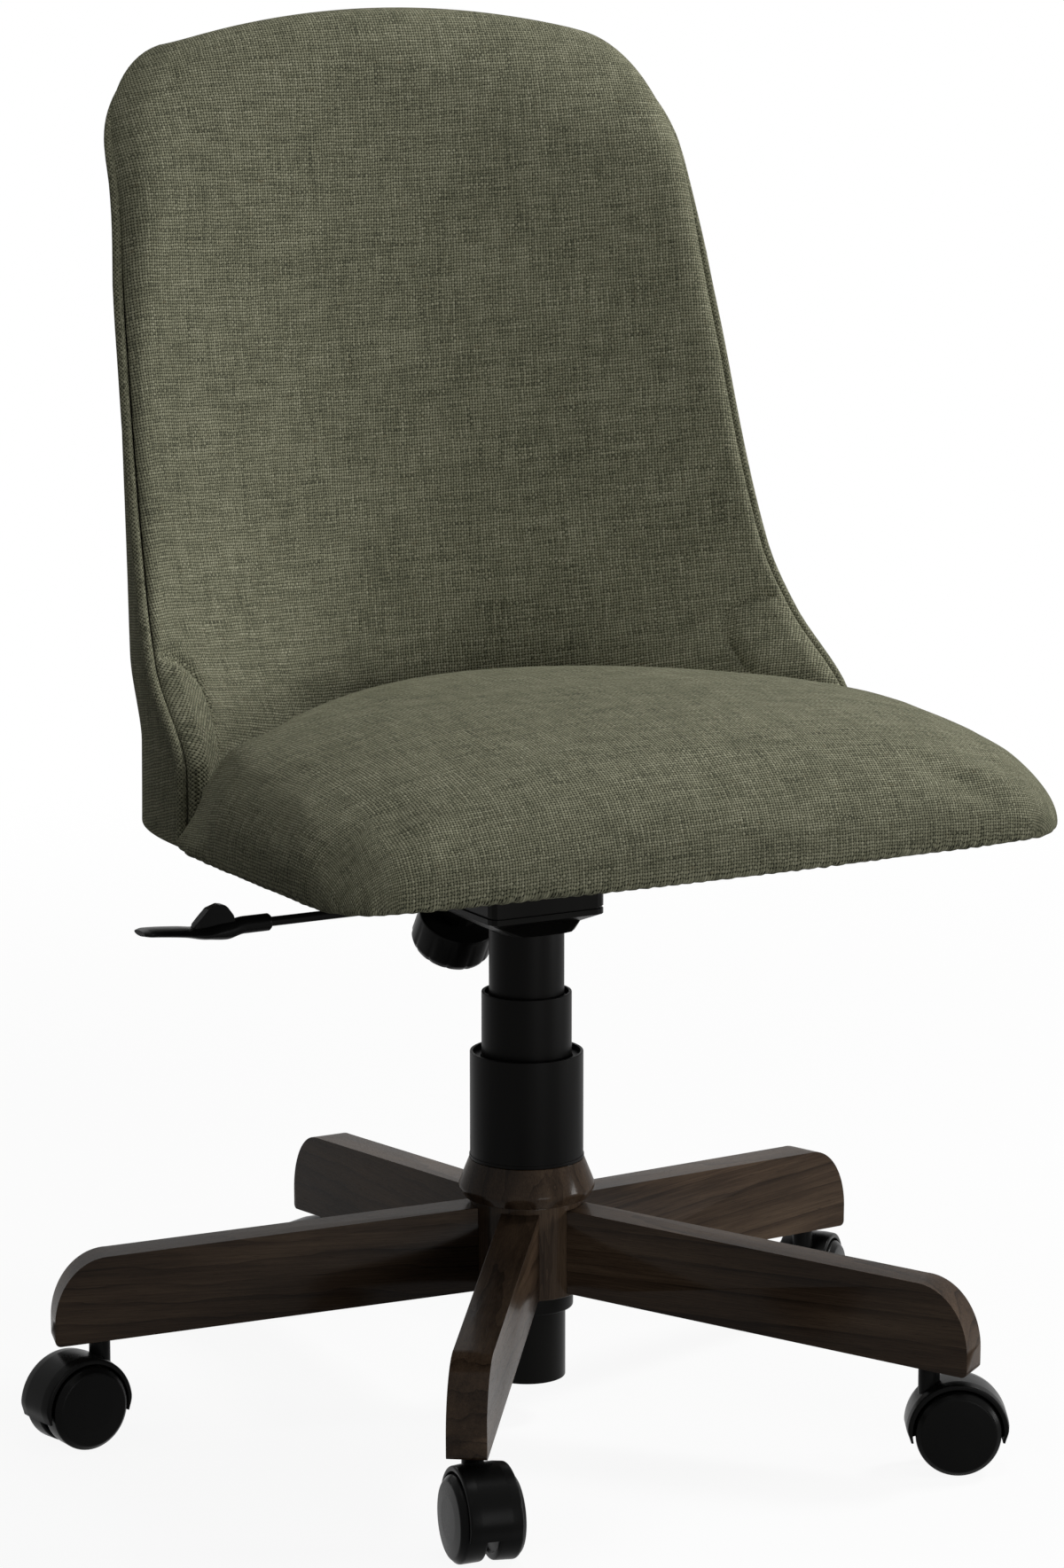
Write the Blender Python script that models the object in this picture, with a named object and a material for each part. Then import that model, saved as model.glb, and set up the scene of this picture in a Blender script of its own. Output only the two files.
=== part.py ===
"""Desk chair: an upholstered shell seat that tilts, lifts and turns on a five-arm wooden base.

Metres, +Z up, front of the chair towards -Y. The column's axis is built at X = Y = 0 and the
whole chair is moved at the end, so that the origin is the middle of its footprint.
"""

import math

import bmesh
import bpy
from mathutils import Matrix, Vector

# Clearances
GAP = 0.0003          # between pieces that rest on each other
RUN = 0.0004          # radial, between pieces that turn or slide in each other

# Casters
CASTERS = 5
WHEEL_R = 0.027
WHEEL_SIDES = 20
WHEEL_IN = 0.0036     # middle of the caster to a wheel's inner face
TREAD_IN = 0.0066
TREAD_OUT = 0.0155
WHEEL_OUT = 0.0212
WHEEL_WALL = 0.0036   # closed outer disc over the axle's end
AXLE_R = 0.003
TRAIL = 0.0177        # stem's axis to axle's axis
TRAIL_TURN = 25.0     # degrees that each caster has swung from its own arm
HOOD_CLEAR = 0.0015   # hood to tread
HOOD_WALL = 0.0040
HOOD_HALF_WIDTH = 0.0165
HOOD_DROP = 12.0      # degrees that the hood reaches below the axle at each end
WEB_HALF = 0.0025
HUB_RING_R = 0.0078
RING_PROUD = 0.0004   # hub ring beyond the web, on each side
BOSS_R = 0.0068
STEM_R = 0.0055
STEM_NECK_R = 0.0038
STEM_IN_ARM = 0.026
STEM_IN_HOOD = 0.0125
STEM_GAP = 0.001      # top of the hood's boss to the arm

# Wooden base
ARM_END_R = 0.3066
STEM_FROM_END = 0.0295  # stem's axis to the arm's end
ARM_HEIGHT = 0.0549
ARM_HALF_THICK = 0.0123
ARM_END_Z = 0.065     # underside of the arm at its end
ARM_SLOPE = 0.08      # rise of the arm towards the hub, per metre
ARM_EDGE = 0.003      # rounding of the long edges
ARM_FOOT = 0.004      # height of the softened corner under the nose
NOSE_RUN = 0.036
NOSE_RISE = 0.044
NOSE_STEPS = 7
ARM_IN_HUB = 0.6      # share of the hub's radius at which the plank starts, before it is hollowed
FIRST_ARM = 36.0      # degrees from the front
HUB_R = 0.036
HUB_BOTTOM = 0.084
HUB_TOP = 0.146
COLLAR_R = 0.0442
COLLAR_TOP_R = 0.0369
COLLAR_WIDE_Z = 0.006  # above the collar's underside
COLLAR_HEIGHT = 0.025
RING_R = 0.030
RING_HEIGHT = 0.011

# Gas lift
TUBE_R = 0.025
TUBE_WALL = 0.0015
TUBE_BOTTOM = 0.026
TUBE_TOP = 0.190
TUBE_FLOOR = 0.006    # recess under the tube's floor
TUBE_FLOOR_THICK = 0.003
BUSH_LENGTH = 0.060
CYLINDER_BOTTOM = 0.106
CYLINDER_R = 0.014
CYLINDER_WALL = 0.0016
CYLINDER_LENGTH = 0.256
CYLINDER_HEAD = 0.037  # solid head that holds the valve
ROD_R = 0.005
PISTON_LENGTH = 0.010
PISTON_Z = 0.245
BEARING_HEIGHT = 0.004
BEARING_R = 0.013
CLIP_R = 0.010
CLIP_THICK = 0.0012
VALVE_R = 0.004
VALVE_LENGTH = 0.020
VALVE_PROUD = 0.0083
VALVE_TRAVEL = 0.006

# Telescopic column cover
SLEEVE_WALL = 0.0019
SLEEVE_LIP = 0.0025
SLEEVE_LIP_SUNK = 0.0035  # lip below the rim
SLEEVE_RIM = 0.0008   # softened outer edge of the rim
SLEEVE_FOOT = 0.002
LOWER_R = 0.0364
LOWER_HEIGHT = 0.0697
MIDDLE_R = 0.0289
MIDDLE_BOTTOM = 0.2075
MIDDLE_TOP = 0.2803
UPPER_R = 0.0241
UPPER_BOTTOM = 0.260

# Tilt mechanism
HOUSING_BOTTOM = 0.322
HOUSING_HALF = 0.0415
HOUSING_FRONT = 0.031
HOUSING_BACK = 0.088
HOUSING_CORNER = 0.007
HOUSING_WALL = 0.003
HOUSING_FLOOR = 0.003  # thickness above the lip's underside
HOUSING_DISH = 0.010  # height of the dished underside
LIP_HEIGHT = 0.0035
GROOVE = 0.0015
SOCKET_WALL = 0.0045
SOCKET_SHORT = 0.013  # socket ends this far below the cylinder's top, under the lever
PIVOT_Y = -0.0155
PIVOT_BELOW_PLATE = 0.026
PIVOT_R = 0.004
TILT_MAX = 12.0
PLATE_THICK = 0.0035
PLATE_HALF_X = 0.075
PLATE_FRONT = 0.075
PLATE_BACK = 0.105
PLATE_BOLT_X = 0.060
PLATE_BOLT_FRONT = 0.058
PLATE_BOLT_BACK = 0.088
BOLT_R = 0.003
EAR_X = 0.029
EAR_THICK = 0.003
EAR_R = 0.008
KNOB_Y = 0.1037
KNOB_Z = 0.289
KNOB_LEAN = 31.0      # degrees from vertical, foot towards the back
KNOB_R = 0.0265
KNOB_HEIGHT = 0.026
KNOB_GRIPS = 12
GRIP_DEPTH = 0.0007
BOLT_HOLE_FLOOR = 0.006  # the bolt's blind hole starts this far above the knob's underside
BOLT_ROD_R = 0.004
BARREL_R = 0.0105
BARREL_RISE = 0.0015  # top of the barrel above the housing's floor, on the bolt's axis
SPRING_R = 0.0095
SPRING_WIRE_R = 0.0014
SPRING_TURNS = 5
FORK_IN = 0.0062
FORK_OUT = 0.0115
FORK_DEPTH = 0.010

# Height lever
LEVER_Z = 0.345
LEVER_ROD_R = 0.003
LEVER_ROD_END = 0.200
HANDLE_START = 0.183
HANDLE_R = 0.0055
LEVER_RISE_AWAY = 0.0065  # the rod's rise keeps this far outside its level tip, clear of the cylinder

# Seat
SEAT_BOTTOM = 0.397
SEAT_HALF = 0.2515    # half-width at the bottom edge
SEAT_FRONT = 0.236
SEAT_FRONT_BOW = 0.008
SEAT_CORNER = 0.034
SEAT_BULGE = 0.0115
SEAT_BULGE_Z = 0.020  # above the bottom edge
SEAT_EDGE_Z = 0.059   # where the top rolls over, above the bottom edge
SEAT_CROWN = 0.096    # middle of the cushion, above the bottom edge
SEAT_SIDE_END = -0.0068  # side of the cushion stops just before the piping
SEAT_WING_END = -0.0125  # and stops here before the padded front of the wing
WING_TUCK = 0.003
REAR_TUCK = 0.006     # rear of the cushion to the back's padding
CROWN_Y = -0.030      # highest line of the crown
CROWN_FRONT = 0.218   # from there to where the crown runs out, forwards and back
CROWN_BACK = 0.195
CROWN_START = 0.006   # crown's rim below the rolled edge
CORNER_DROP = 0.019   # padding lies this much lower at the front corners
CUSHION_MIDDLE_Y = -0.045
CUSHION_OVAL = (0.235, 0.185)  # half-axes of the oval that the top's inner rings run into
CUSHION_RINGS = 7
COVER_THICK = 0.0012
BOARD_THICK = 0.012
BOARD_INSET = 0.024
BOARD_CORNER = 0.020
BOARD_SIDE_END = -0.032  # rear end of the board's straight sides
BOARD_CLEAR = 0.0014  # board to the shell that wraps round it

# Back
BACK_TOP = 0.8835
BACK_ARCH_R = 0.62
ARCH_START = 0.66     # height from which rows begin to arch
BACK_CORNER = 0.058
TOP_SQUARENESS = 0.45  # 1 is a round top edge, seen from the side, and 0 a square one
TOP_SINK = 0.0013     # top edge of the padding below the piping's line
PIPING_R = 0.0032
PIPING_PROUD = 0.0025  # piping's middle outside the back's edge
EDGE_SINK = 0.0028    # piping's middle to the edges of the panels beside it
NOSE_DEPTH = 0.008    # front padding stands this far before the piping
NOSE_WIDTH = 0.010
SHELL_FROM = 0.60     # share of the thickness, from the front face, where the shell starts
SHELL_TO = 0.84
LAYER_GAP = 0.02      # share of the thickness between two layers
SHELL_STEPS = 2       # rows and columns that the hard shell stays inside the padding
INNER_SINK = 0.012    # piping's middle to the hidden faces
PAD_BOTTOM = 0.4125
BACK_COLUMNS = 12     # points across half of each face
BACK_ROWS = (0.4125, 0.430, 0.455, 0.480, 0.505, 0.535, 0.580, 0.650, 0.730, 0.790)
CORNER_DEGREES = (0, 25, 45, 60, 72, 81, 87)

# Height, bend radius at the middle of the front face
FACE_BEND = ((0.397, 0.120), (0.480, 0.120), (0.620, 0.180), (0.840, 0.300))
# Height, how far the back's side at its piping stands inside the seat's
BACK_INSET = ((0.397, 0.0100), (0.458, 0.0135), (0.541, 0.0265), (0.666, 0.0355), (0.840, 0.0470))
# Height, distance of the piping behind the column's axis
BACK_EDGE = ((0.397, -0.003), (0.445, 0.002), (0.499, 0.058), (0.541, 0.085), (0.700, 0.134), (0.820, 0.162),
             (0.865, 0.186), (0.893, 0.205))
# Height, distance of the rear face behind the column's axis
BACK_REAR = ((0.397, 0.197), (0.470, 0.210), (0.586, 0.2155), (0.840, 0.2115))
# Height, squareness of the rear face seen from above: 2 is an ellipse
REAR_SQUARENESS = ((0.397, 2.5), (0.586, 2.2), (0.800, 2.0))
# Height, distance of the front face's middle behind the column's axis
BACK_FACE = ((0.397, 0.143), (0.470, 0.151), (0.600, 0.162), (0.840, 0.176))


def material(name, colour, roughness, metallic=0.0):
    """Return the named Principled material, making it on first use."""
    found = bpy.data.materials.get(name)
    if found:
        return found
    made = bpy.data.materials.new(name)
    made.use_nodes = True
    shader = made.node_tree.nodes["Principled BSDF"]
    shader.inputs["Base Color"].default_value = (*colour, 1.0)
    shader.inputs["Roughness"].default_value = roughness
    shader.inputs["Metallic"].default_value = metallic
    return made


def wood():
    return material("walnut", (0.060, 0.038, 0.026), 0.35)


def black_plastic():
    return material("black_plastic", (0.012, 0.012, 0.012), 0.45)


def black_metal():
    return material("black_metal", (0.015, 0.015, 0.015), 0.40, 0.6)


def steel():
    return material("steel", (0.55, 0.55, 0.56), 0.30, 1.0)


def fabric():
    return material("olive_fabric", (0.105, 0.110, 0.075), 0.95)


def plywood():
    return material("plywood", (0.42, 0.30, 0.18), 0.70)


def dark_cloth():
    return material("dust_cloth", (0.010, 0.010, 0.010), 0.95)


def empty(name, place, parent=None, turn=0.0):
    """Return an empty that carries a group of pieces, turned about Z by degrees."""
    carrier = bpy.data.objects.new(name, None)
    bpy.context.scene.collection.objects.link(carrier)
    carrier.location = place
    carrier.rotation_euler = (0.0, 0.0, math.radians(turn))
    carrier.parent = parent
    return carrier


def add_object(name, mesh, finish, parent=None, smooth=30.0):
    """Link a mesh to the scene as one named piece."""
    if not mesh.materials:
        mesh.materials.append(finish)
    mesh.shade_smooth()
    mesh.set_sharp_from_angle(angle=math.radians(smooth))
    piece = bpy.data.objects.new(name, mesh)
    bpy.context.scene.collection.objects.link(piece)
    piece.parent = parent
    return piece


def mesh_from(name, bm):
    """Turn a bmesh into a mesh with its faces pointing outwards."""
    bmesh.ops.recalc_face_normals(bm, faces=bm.faces)
    mesh = bpy.data.meshes.new(name)
    bm.to_mesh(mesh)
    bm.free()
    return mesh


def loft(rings, split=False):
    """Skin rings of points that all have the same count, and cap the two ends.

    split cuts each quad along the diagonal that starts further from the middle plane, so that
    two layers that lie face to face are cut alike.
    """
    bm = bmesh.new()
    rows = [[bm.verts.new(point) for point in ring] for ring in rings]
    for low, high in zip(rows, rows[1:]):
        count = len(low)
        for i in range(count):
            j = (i + 1) % count
            if not split:
                bm.faces.new((low[i], low[j], high[j], high[i]))
            elif abs(low[i].co.x) > abs(low[j].co.x):
                bm.faces.new((low[i], low[j], high[j]))
                bm.faces.new((low[i], high[j], high[i]))
            else:
                bm.faces.new((low[i], low[j], high[i]))
                bm.faces.new((low[j], high[j], high[i]))
    bm.faces.new(rows[0])
    bm.faces.new(rows[-1])
    return bm


def turned(profile, sides):
    """Spin a closed outline of (radius, height) points about Z. Points on the axis are merged."""
    bm = bmesh.new()
    points = [bm.verts.new((radius, 0.0, height)) for radius, height in profile]
    edges = []
    for start, end in zip(points, points[1:] + points[:1]):
        on_axis = start.co.x < 1e-6 and end.co.x < 1e-6
        if not on_axis:
            edges.append(bm.edges.new((start, end)))
    bmesh.ops.spin(bm, geom=points + edges, cent=(0, 0, 0), axis=(0, 0, 1),
                   angle=math.tau, steps=sides, use_merge=False)
    bmesh.ops.remove_doubles(bm, verts=bm.verts, dist=1e-6)
    return bm


def disc(radius, low, high, sides):
    """A plain round bar along Z."""
    return turned([(0.0, low), (radius, low), (radius, high), (0.0, high)], sides)


def prism(outline, low, high):
    """Extrude a flat outline of (x, y) points from one height to another."""
    return loft([[(x, y, low) for x, y in outline], [(x, y, high) for x, y in outline]])


def moved(bm, matrix):
    """Transform a bmesh and return it."""
    bmesh.ops.transform(bm, matrix=matrix, verts=bm.verts)
    return bm


def turn_about(axis, degrees):
    return Matrix.Rotation(math.radians(degrees), 4, axis)


def box(low, high):
    """A block between two corners."""
    (x0, y0, z0), (x1, y1, z1) = low, high
    return prism([(x0, y0), (x1, y0), (x1, y1), (x0, y1)], z0, z1)


def combine(name, base, steps):
    """Apply Boolean steps of (operation, bmesh) to a bmesh and return the finished mesh."""
    body = bpy.data.objects.new(name + "_blank", mesh_from(name + "_blank", base))
    bpy.context.scene.collection.objects.link(body)
    cutters = []
    for number, (operation, bm) in enumerate(steps):
        cutter = bpy.data.objects.new(f"{name}_tool_{number}", mesh_from(f"{name}_tool_{number}", bm))
        bpy.context.scene.collection.objects.link(cutter)
        change = body.modifiers.new(f"step_{number}", "BOOLEAN")
        change.operation = operation
        change.object = cutter
        cutters.append(cutter)
    bpy.context.view_layer.update()
    graph = bpy.context.evaluated_depsgraph_get()
    mesh = bpy.data.meshes.new_from_object(body.evaluated_get(graph))
    mesh.name = name
    for used in [body] + cutters:
        bpy.data.objects.remove(used)
    bm = bmesh.new()
    bm.from_mesh(mesh)
    bmesh.ops.remove_doubles(bm, verts=bm.verts, dist=2e-6)
    bmesh.ops.dissolve_degenerate(bm, edges=bm.edges, dist=2e-6)
    bm.to_mesh(mesh)
    bm.free()
    return mesh


def between(height, stations):
    """Read a smooth curve through (height, value) stations, without overshoot."""
    heights = [station[0] for station in stations]
    values = [station[1] for station in stations]
    if height <= heights[0]:
        return values[0]
    if height >= heights[-1]:
        return values[-1]
    slopes = [(v1 - v0) / (h1 - h0) for h0, h1, v0, v1 in zip(heights, heights[1:], values, values[1:])]
    tangents = [slopes[0]]
    for before, after in zip(slopes, slopes[1:]):
        same_way = before * after > 0
        tangents.append(2 * before * after / (before + after) if same_way else 0.0)
    tangents.append(slopes[-1])
    k = max(i for i in range(len(slopes)) if heights[i] <= height)
    span = heights[k + 1] - heights[k]
    t = (height - heights[k]) / span
    start = values[k] * (1 + 2 * t) * (1 - t) ** 2 + tangents[k] * span * t * (1 - t) ** 2
    end = values[k + 1] * t * t * (3 - 2 * t) + tangents[k + 1] * span * t * t * (t - 1)
    return start + end


def resample(points, count, skip):
    """Spread points evenly along a line of (x, y) points, leaving out a first stretch."""
    lengths = [0.0]
    for (x0, y0), (x1, y1) in zip(points, points[1:]):
        lengths.append(lengths[-1] + math.hypot(x1 - x0, y1 - y0))
    spread = []
    for i in range(count):
        target = skip + (lengths[-1] - skip) * i / (count - 1)
        k = max(n for n in range(len(points) - 1) if lengths[n] <= target + 1e-12)
        t = (target - lengths[k]) / (lengths[k + 1] - lengths[k])
        spread.append((points[k][0] * (1 - t) + points[k + 1][0] * t,
                       points[k][1] * (1 - t) + points[k + 1][1] * t))
    return spread


# Heights that follow from the sizes above
AXLE_Z = WHEEL_R * math.cos(math.pi / WHEEL_SIDES)
HOOD_IN_R = WHEEL_R + HOOD_CLEAR
HOOD_OUT_R = HOOD_IN_R + HOOD_WALL
TUBE_IN_R = TUBE_R - TUBE_WALL
FLOOR_LOW = TUBE_BOTTOM + TUBE_FLOOR
FLOOR_HIGH = FLOOR_LOW + TUBE_FLOOR_THICK
COLLAR_BOTTOM = HUB_TOP + GAP
COLLAR_TOP = COLLAR_BOTTOM + COLLAR_HEIGHT
LOWER_BOTTOM = COLLAR_TOP + GAP
LOWER_TOP = LOWER_BOTTOM + LOWER_HEIGHT
UPPER_TOP = HOUSING_BOTTOM - GAP
PLATE_TOP = SEAT_BOTTOM - GAP
PLATE_BOTTOM = PLATE_TOP - PLATE_THICK
PIVOT_Z = PLATE_BOTTOM - PIVOT_BELOW_PLATE
CYLINDER_TOP = CYLINDER_BOTTOM + CYLINDER_LENGTH
STEM_CIRCLE_R = ARM_END_R - STEM_FROM_END
BACK_WIDTH = tuple((height, SEAT_HALF - inset) for height, inset in BACK_INSET)
FLOOR_Z = HOUSING_BOTTOM + HOUSING_DISH + HOUSING_FLOOR
LEVER_PIVOT_X = -(HOUSING_HALF - HOUSING_WALL / 2)
LEVER_TIP_Z = CYLINDER_TOP + VALVE_PROUD + GAP + LEVER_ROD_R
BOARD_BOTTOM = SEAT_BOTTOM + COVER_THICK + GAP
BOARD_TOP = BOARD_BOTTOM + BOARD_THICK


def arm_underside(radius):
    """Height of an arm's underside at a distance from the column's axis."""
    return ARM_END_Z + ARM_SLOPE * (ARM_END_R - radius)


def clear_scene():
    """Remove whatever the file opened with."""
    for old in list(bpy.data.objects):
        bpy.data.objects.remove(old)


def arm_mesh():
    """One arm along +X: a sloping plank with a big rounded nose, hollowed where it meets the hub."""
    end_top = ARM_END_Z + ARM_HEIGHT
    outline = [(HUB_R * ARM_IN_HUB, arm_underside(HUB_R * ARM_IN_HUB))]
    foot = ARM_FOOT
    outline.append((ARM_END_R - foot, arm_underside(ARM_END_R - foot)))
    outline.append((ARM_END_R - 0.3 * foot, arm_underside(ARM_END_R) + 0.25 * foot))
    outline.append((ARM_END_R, arm_underside(ARM_END_R) + foot))
    nose_x = ARM_END_R - NOSE_RUN
    nose_z = end_top + ARM_SLOPE * NOSE_RUN - NOSE_RISE
    for step in range(NOSE_STEPS + 1):
        angle = math.pi / 2 * step / NOSE_STEPS
        outline.append((nose_x + NOSE_RUN * math.cos(angle), nose_z + NOSE_RISE * math.sin(angle)))
    outline.append((HUB_R * ARM_IN_HUB, arm_underside(HUB_R * ARM_IN_HUB) + ARM_HEIGHT))
    sides = [[(x, y, z) for x, z in outline] for y in (-ARM_HALF_THICK, ARM_HALF_THICK)]
    bm = loft(sides)
    rounded = []
    for edge in bm.edges:
        a, b = edge.verts
        middle = (a.co + b.co) / 2
        on_face = abs(a.co.y - b.co.y) < 1e-6
        above = middle.z > arm_underside(middle.x) + foot
        at_hub = abs(a.co.x - b.co.x) < 1e-6 and middle.x < HUB_R
        if on_face and above and not at_hub:
            rounded.append(edge)
    bmesh.ops.bevel(bm, geom=rounded, offset=ARM_EDGE, segments=2, profile=0.5, affect="EDGES",
                    clamp_overlap=True)
    hub_space = disc(HUB_R + GAP, HUB_BOTTOM - 0.05, COLLAR_TOP + 0.05, 30)
    stem_z = arm_underside(STEM_CIRCLE_R)
    stem_hole = disc(STEM_R + GAP, stem_z - 0.01, stem_z + STEM_IN_ARM + GAP, 12)
    moved(stem_hole, Matrix.Translation((STEM_CIRCLE_R, 0, 0)))
    return combine("arm", bm, [("DIFFERENCE", hub_space), ("DIFFERENCE", stem_hole)])


def build_base(base):
    """Hub, collar, ring and five arms."""
    bore = TUBE_R + RUN
    hub = turned([(bore, HUB_BOTTOM), (HUB_R, HUB_BOTTOM), (HUB_R, HUB_TOP), (bore, HUB_TOP)], 30)
    add_object("hub", mesh_from("hub", hub), wood(), base)
    low = COLLAR_BOTTOM
    collar = turned([(bore, low), (COLLAR_R - 0.004, low), (COLLAR_R - 0.001, low + 0.002),
                     (COLLAR_R, low + COLLAR_WIDE_Z), (COLLAR_R - 0.0012, low + COLLAR_WIDE_Z + 0.003),
                     (COLLAR_TOP_R, COLLAR_TOP), (bore, COLLAR_TOP)], 30)
    add_object("collar", mesh_from("collar", collar), wood(), base)
    ring_top = HUB_BOTTOM - GAP
    ring_low = ring_top - RING_HEIGHT
    ring = turned([(bore, ring_low), (RING_R - 0.001, ring_low), (RING_R, ring_low + 0.001),
                   (RING_R, ring_top), (bore, ring_top)], 20)
    add_object("hub_ring", mesh_from("hub_ring", ring), black_metal(), base)
    mesh = arm_mesh()
    for k in range(CASTERS):
        arm = add_object(f"arm_{k + 1}", mesh, wood(), base)
        arm.rotation_euler.z = math.radians(FIRST_ARM + 360.0 / CASTERS * k - 90.0)


def wheel_mesh():
    """One wheel about Z, with its inner face down at WHEEL_IN and a closed outer disc."""
    bore = AXLE_R + RUN
    profile = [
        (0.0, WHEEL_OUT - WHEEL_WALL),
        (bore, WHEEL_OUT - WHEEL_WALL),
        (bore, WHEEL_IN),
        (WHEEL_R - 0.003, WHEEL_IN),
        (WHEEL_R, TREAD_IN),
        (WHEEL_R, TREAD_OUT),
        (WHEEL_R - 0.0016, WHEEL_OUT - 0.0022),
        (WHEEL_R - 0.0050, WHEEL_OUT - 0.0003),
        (0.0, WHEEL_OUT),
    ]
    bm = turned(profile, WHEEL_SIDES)
    half_side = 180.0 / WHEEL_SIDES
    return mesh_from("wheel", moved(bm, turn_about("Z", half_side)))


def hood_mesh():
    """A caster's body about its axle, with the stem's boss. The stem is at X = 0, the axle at +X."""
    outer = HOOD_OUT_R
    bore = AXLE_R + RUN
    start = -math.radians(HOOD_DROP)
    span = math.pi - 2 * start
    steps = 13
    web_in = 0.6 * HUB_RING_R
    section = [
        (web_in, -WEB_HALF), (HOOD_IN_R, -WEB_HALF), (HOOD_IN_R, -HOOD_HALF_WIDTH),
        (outer - 0.0022, -HOOD_HALF_WIDTH), (outer, -HOOD_HALF_WIDTH + 0.006),
        (outer, HOOD_HALF_WIDTH - 0.006), (outer - 0.0022, HOOD_HALF_WIDTH),
        (HOOD_IN_R, HOOD_HALF_WIDTH), (HOOD_IN_R, WEB_HALF), (web_in, WEB_HALF),
    ]
    rings = []
    for step in range(steps + 1):
        angle = start + span * step / steps
        along, up = math.cos(angle), math.sin(angle)
        rings.append([(TRAIL + radius * along, side, AXLE_Z + radius * up) for radius, side in section])
    arch = loft(rings)
    boss_top = arm_underside(STEM_CIRCLE_R) - STEM_GAP
    boss = disc(BOSS_R, AXLE_Z, boss_top, 14)
    to_axle = Matrix.Translation((TRAIL, 0, AXLE_Z)) @ turn_about("X", 90)
    wheel_space = moved(disc(HOOD_IN_R + 0.001, -0.03, 0.03, 26), to_axle)
    boss_mesh = combine("boss", boss, [("DIFFERENCE", wheel_space)])
    boss_part = bmesh.new()
    boss_part.from_mesh(boss_mesh)
    ring_half = WEB_HALF + RING_PROUD
    hub_ring = moved(disc(HUB_RING_R, -ring_half, ring_half, 14), to_axle)
    axle_hole = moved(disc(bore + GAP, -0.02, 0.02, 10), to_axle)
    stem_hole = disc(STEM_NECK_R + RUN, boss_top - STEM_IN_HOOD - GAP, boss_top + 0.01, 10)
    return combine("hood", arch, [("UNION", boss_part), ("UNION", hub_ring),
                                  ("DIFFERENCE", axle_hole), ("DIFFERENCE", stem_hole)])


def stem_mesh():
    """A caster's stem along Z, wide where it grips the arm and narrow in the hood."""
    arm_z = arm_underside(STEM_CIRCLE_R)
    boss_top = arm_z - STEM_GAP
    top = arm_z + STEM_IN_ARM
    return mesh_from("stem", turned([
        (0.0, boss_top - STEM_IN_HOOD), (STEM_NECK_R, boss_top - STEM_IN_HOOD),
        (STEM_NECK_R, boss_top + GAP), (STEM_R, boss_top + GAP), (STEM_R, top - 0.001),
        (STEM_R - 0.001, top), (0.0, top)], 12))


def build_casters(base):
    """Five twin-wheel casters, each an empty on its stem's axis that has swung by TRAIL_TURN."""
    wheel = wheel_mesh()
    hood = hood_mesh()
    stem = stem_mesh()
    axle = mesh_from("axle", disc(AXLE_R, -(WHEEL_OUT - WHEEL_WALL - GAP), WHEEL_OUT - WHEEL_WALL - GAP, 12))
    for k in range(CASTERS):
        arm_angle = FIRST_ARM + 360.0 / CASTERS * k
        place = (STEM_CIRCLE_R * math.sin(math.radians(arm_angle)),
                 -STEM_CIRCLE_R * math.cos(math.radians(arm_angle)), 0.0)
        number = k + 1
        fixed = add_object(f"caster_{number}_stem", stem, steel(), base)
        fixed.location = place
        swivel = empty(f"caster_{number}_axis", place, base, arm_angle + TRAIL_TURN - 90.0)
        add_object(f"caster_{number}_hood", hood, black_plastic(), swivel)
        for name, shape, finish, side in (("axle", axle, steel(), 90), ("wheel_a", wheel, black_plastic(), 90),
                                          ("wheel_b", wheel, black_plastic(), -90)):
            piece = add_object(f"caster_{number}_{name}", shape, finish, swivel)
            piece.location = (TRAIL, 0.0, AXLE_Z)
            piece.rotation_euler.x = math.radians(side)


def sleeve(radius, low, high, foot_in, foot_out, lip_in):
    """One stage of the column cover: a thin tube with a foot flange and an inward lip on top."""
    inner = radius - SLEEVE_WALL
    lip_top = high - SLEEVE_LIP_SUNK
    return turned([
        (foot_in, low), (foot_out, low), (foot_out, low + SLEEVE_FOOT), (radius, low + SLEEVE_FOOT),
        (radius, high - SLEEVE_RIM), (radius - SLEEVE_RIM, high), (inner, high), (inner, lip_top),
        (lip_in, lip_top), (lip_in, lip_top - SLEEVE_LIP), (inner, lip_top - SLEEVE_LIP),
        (inner, low + SLEEVE_FOOT), (foot_in, low + SLEEVE_FOOT)], 24)


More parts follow.
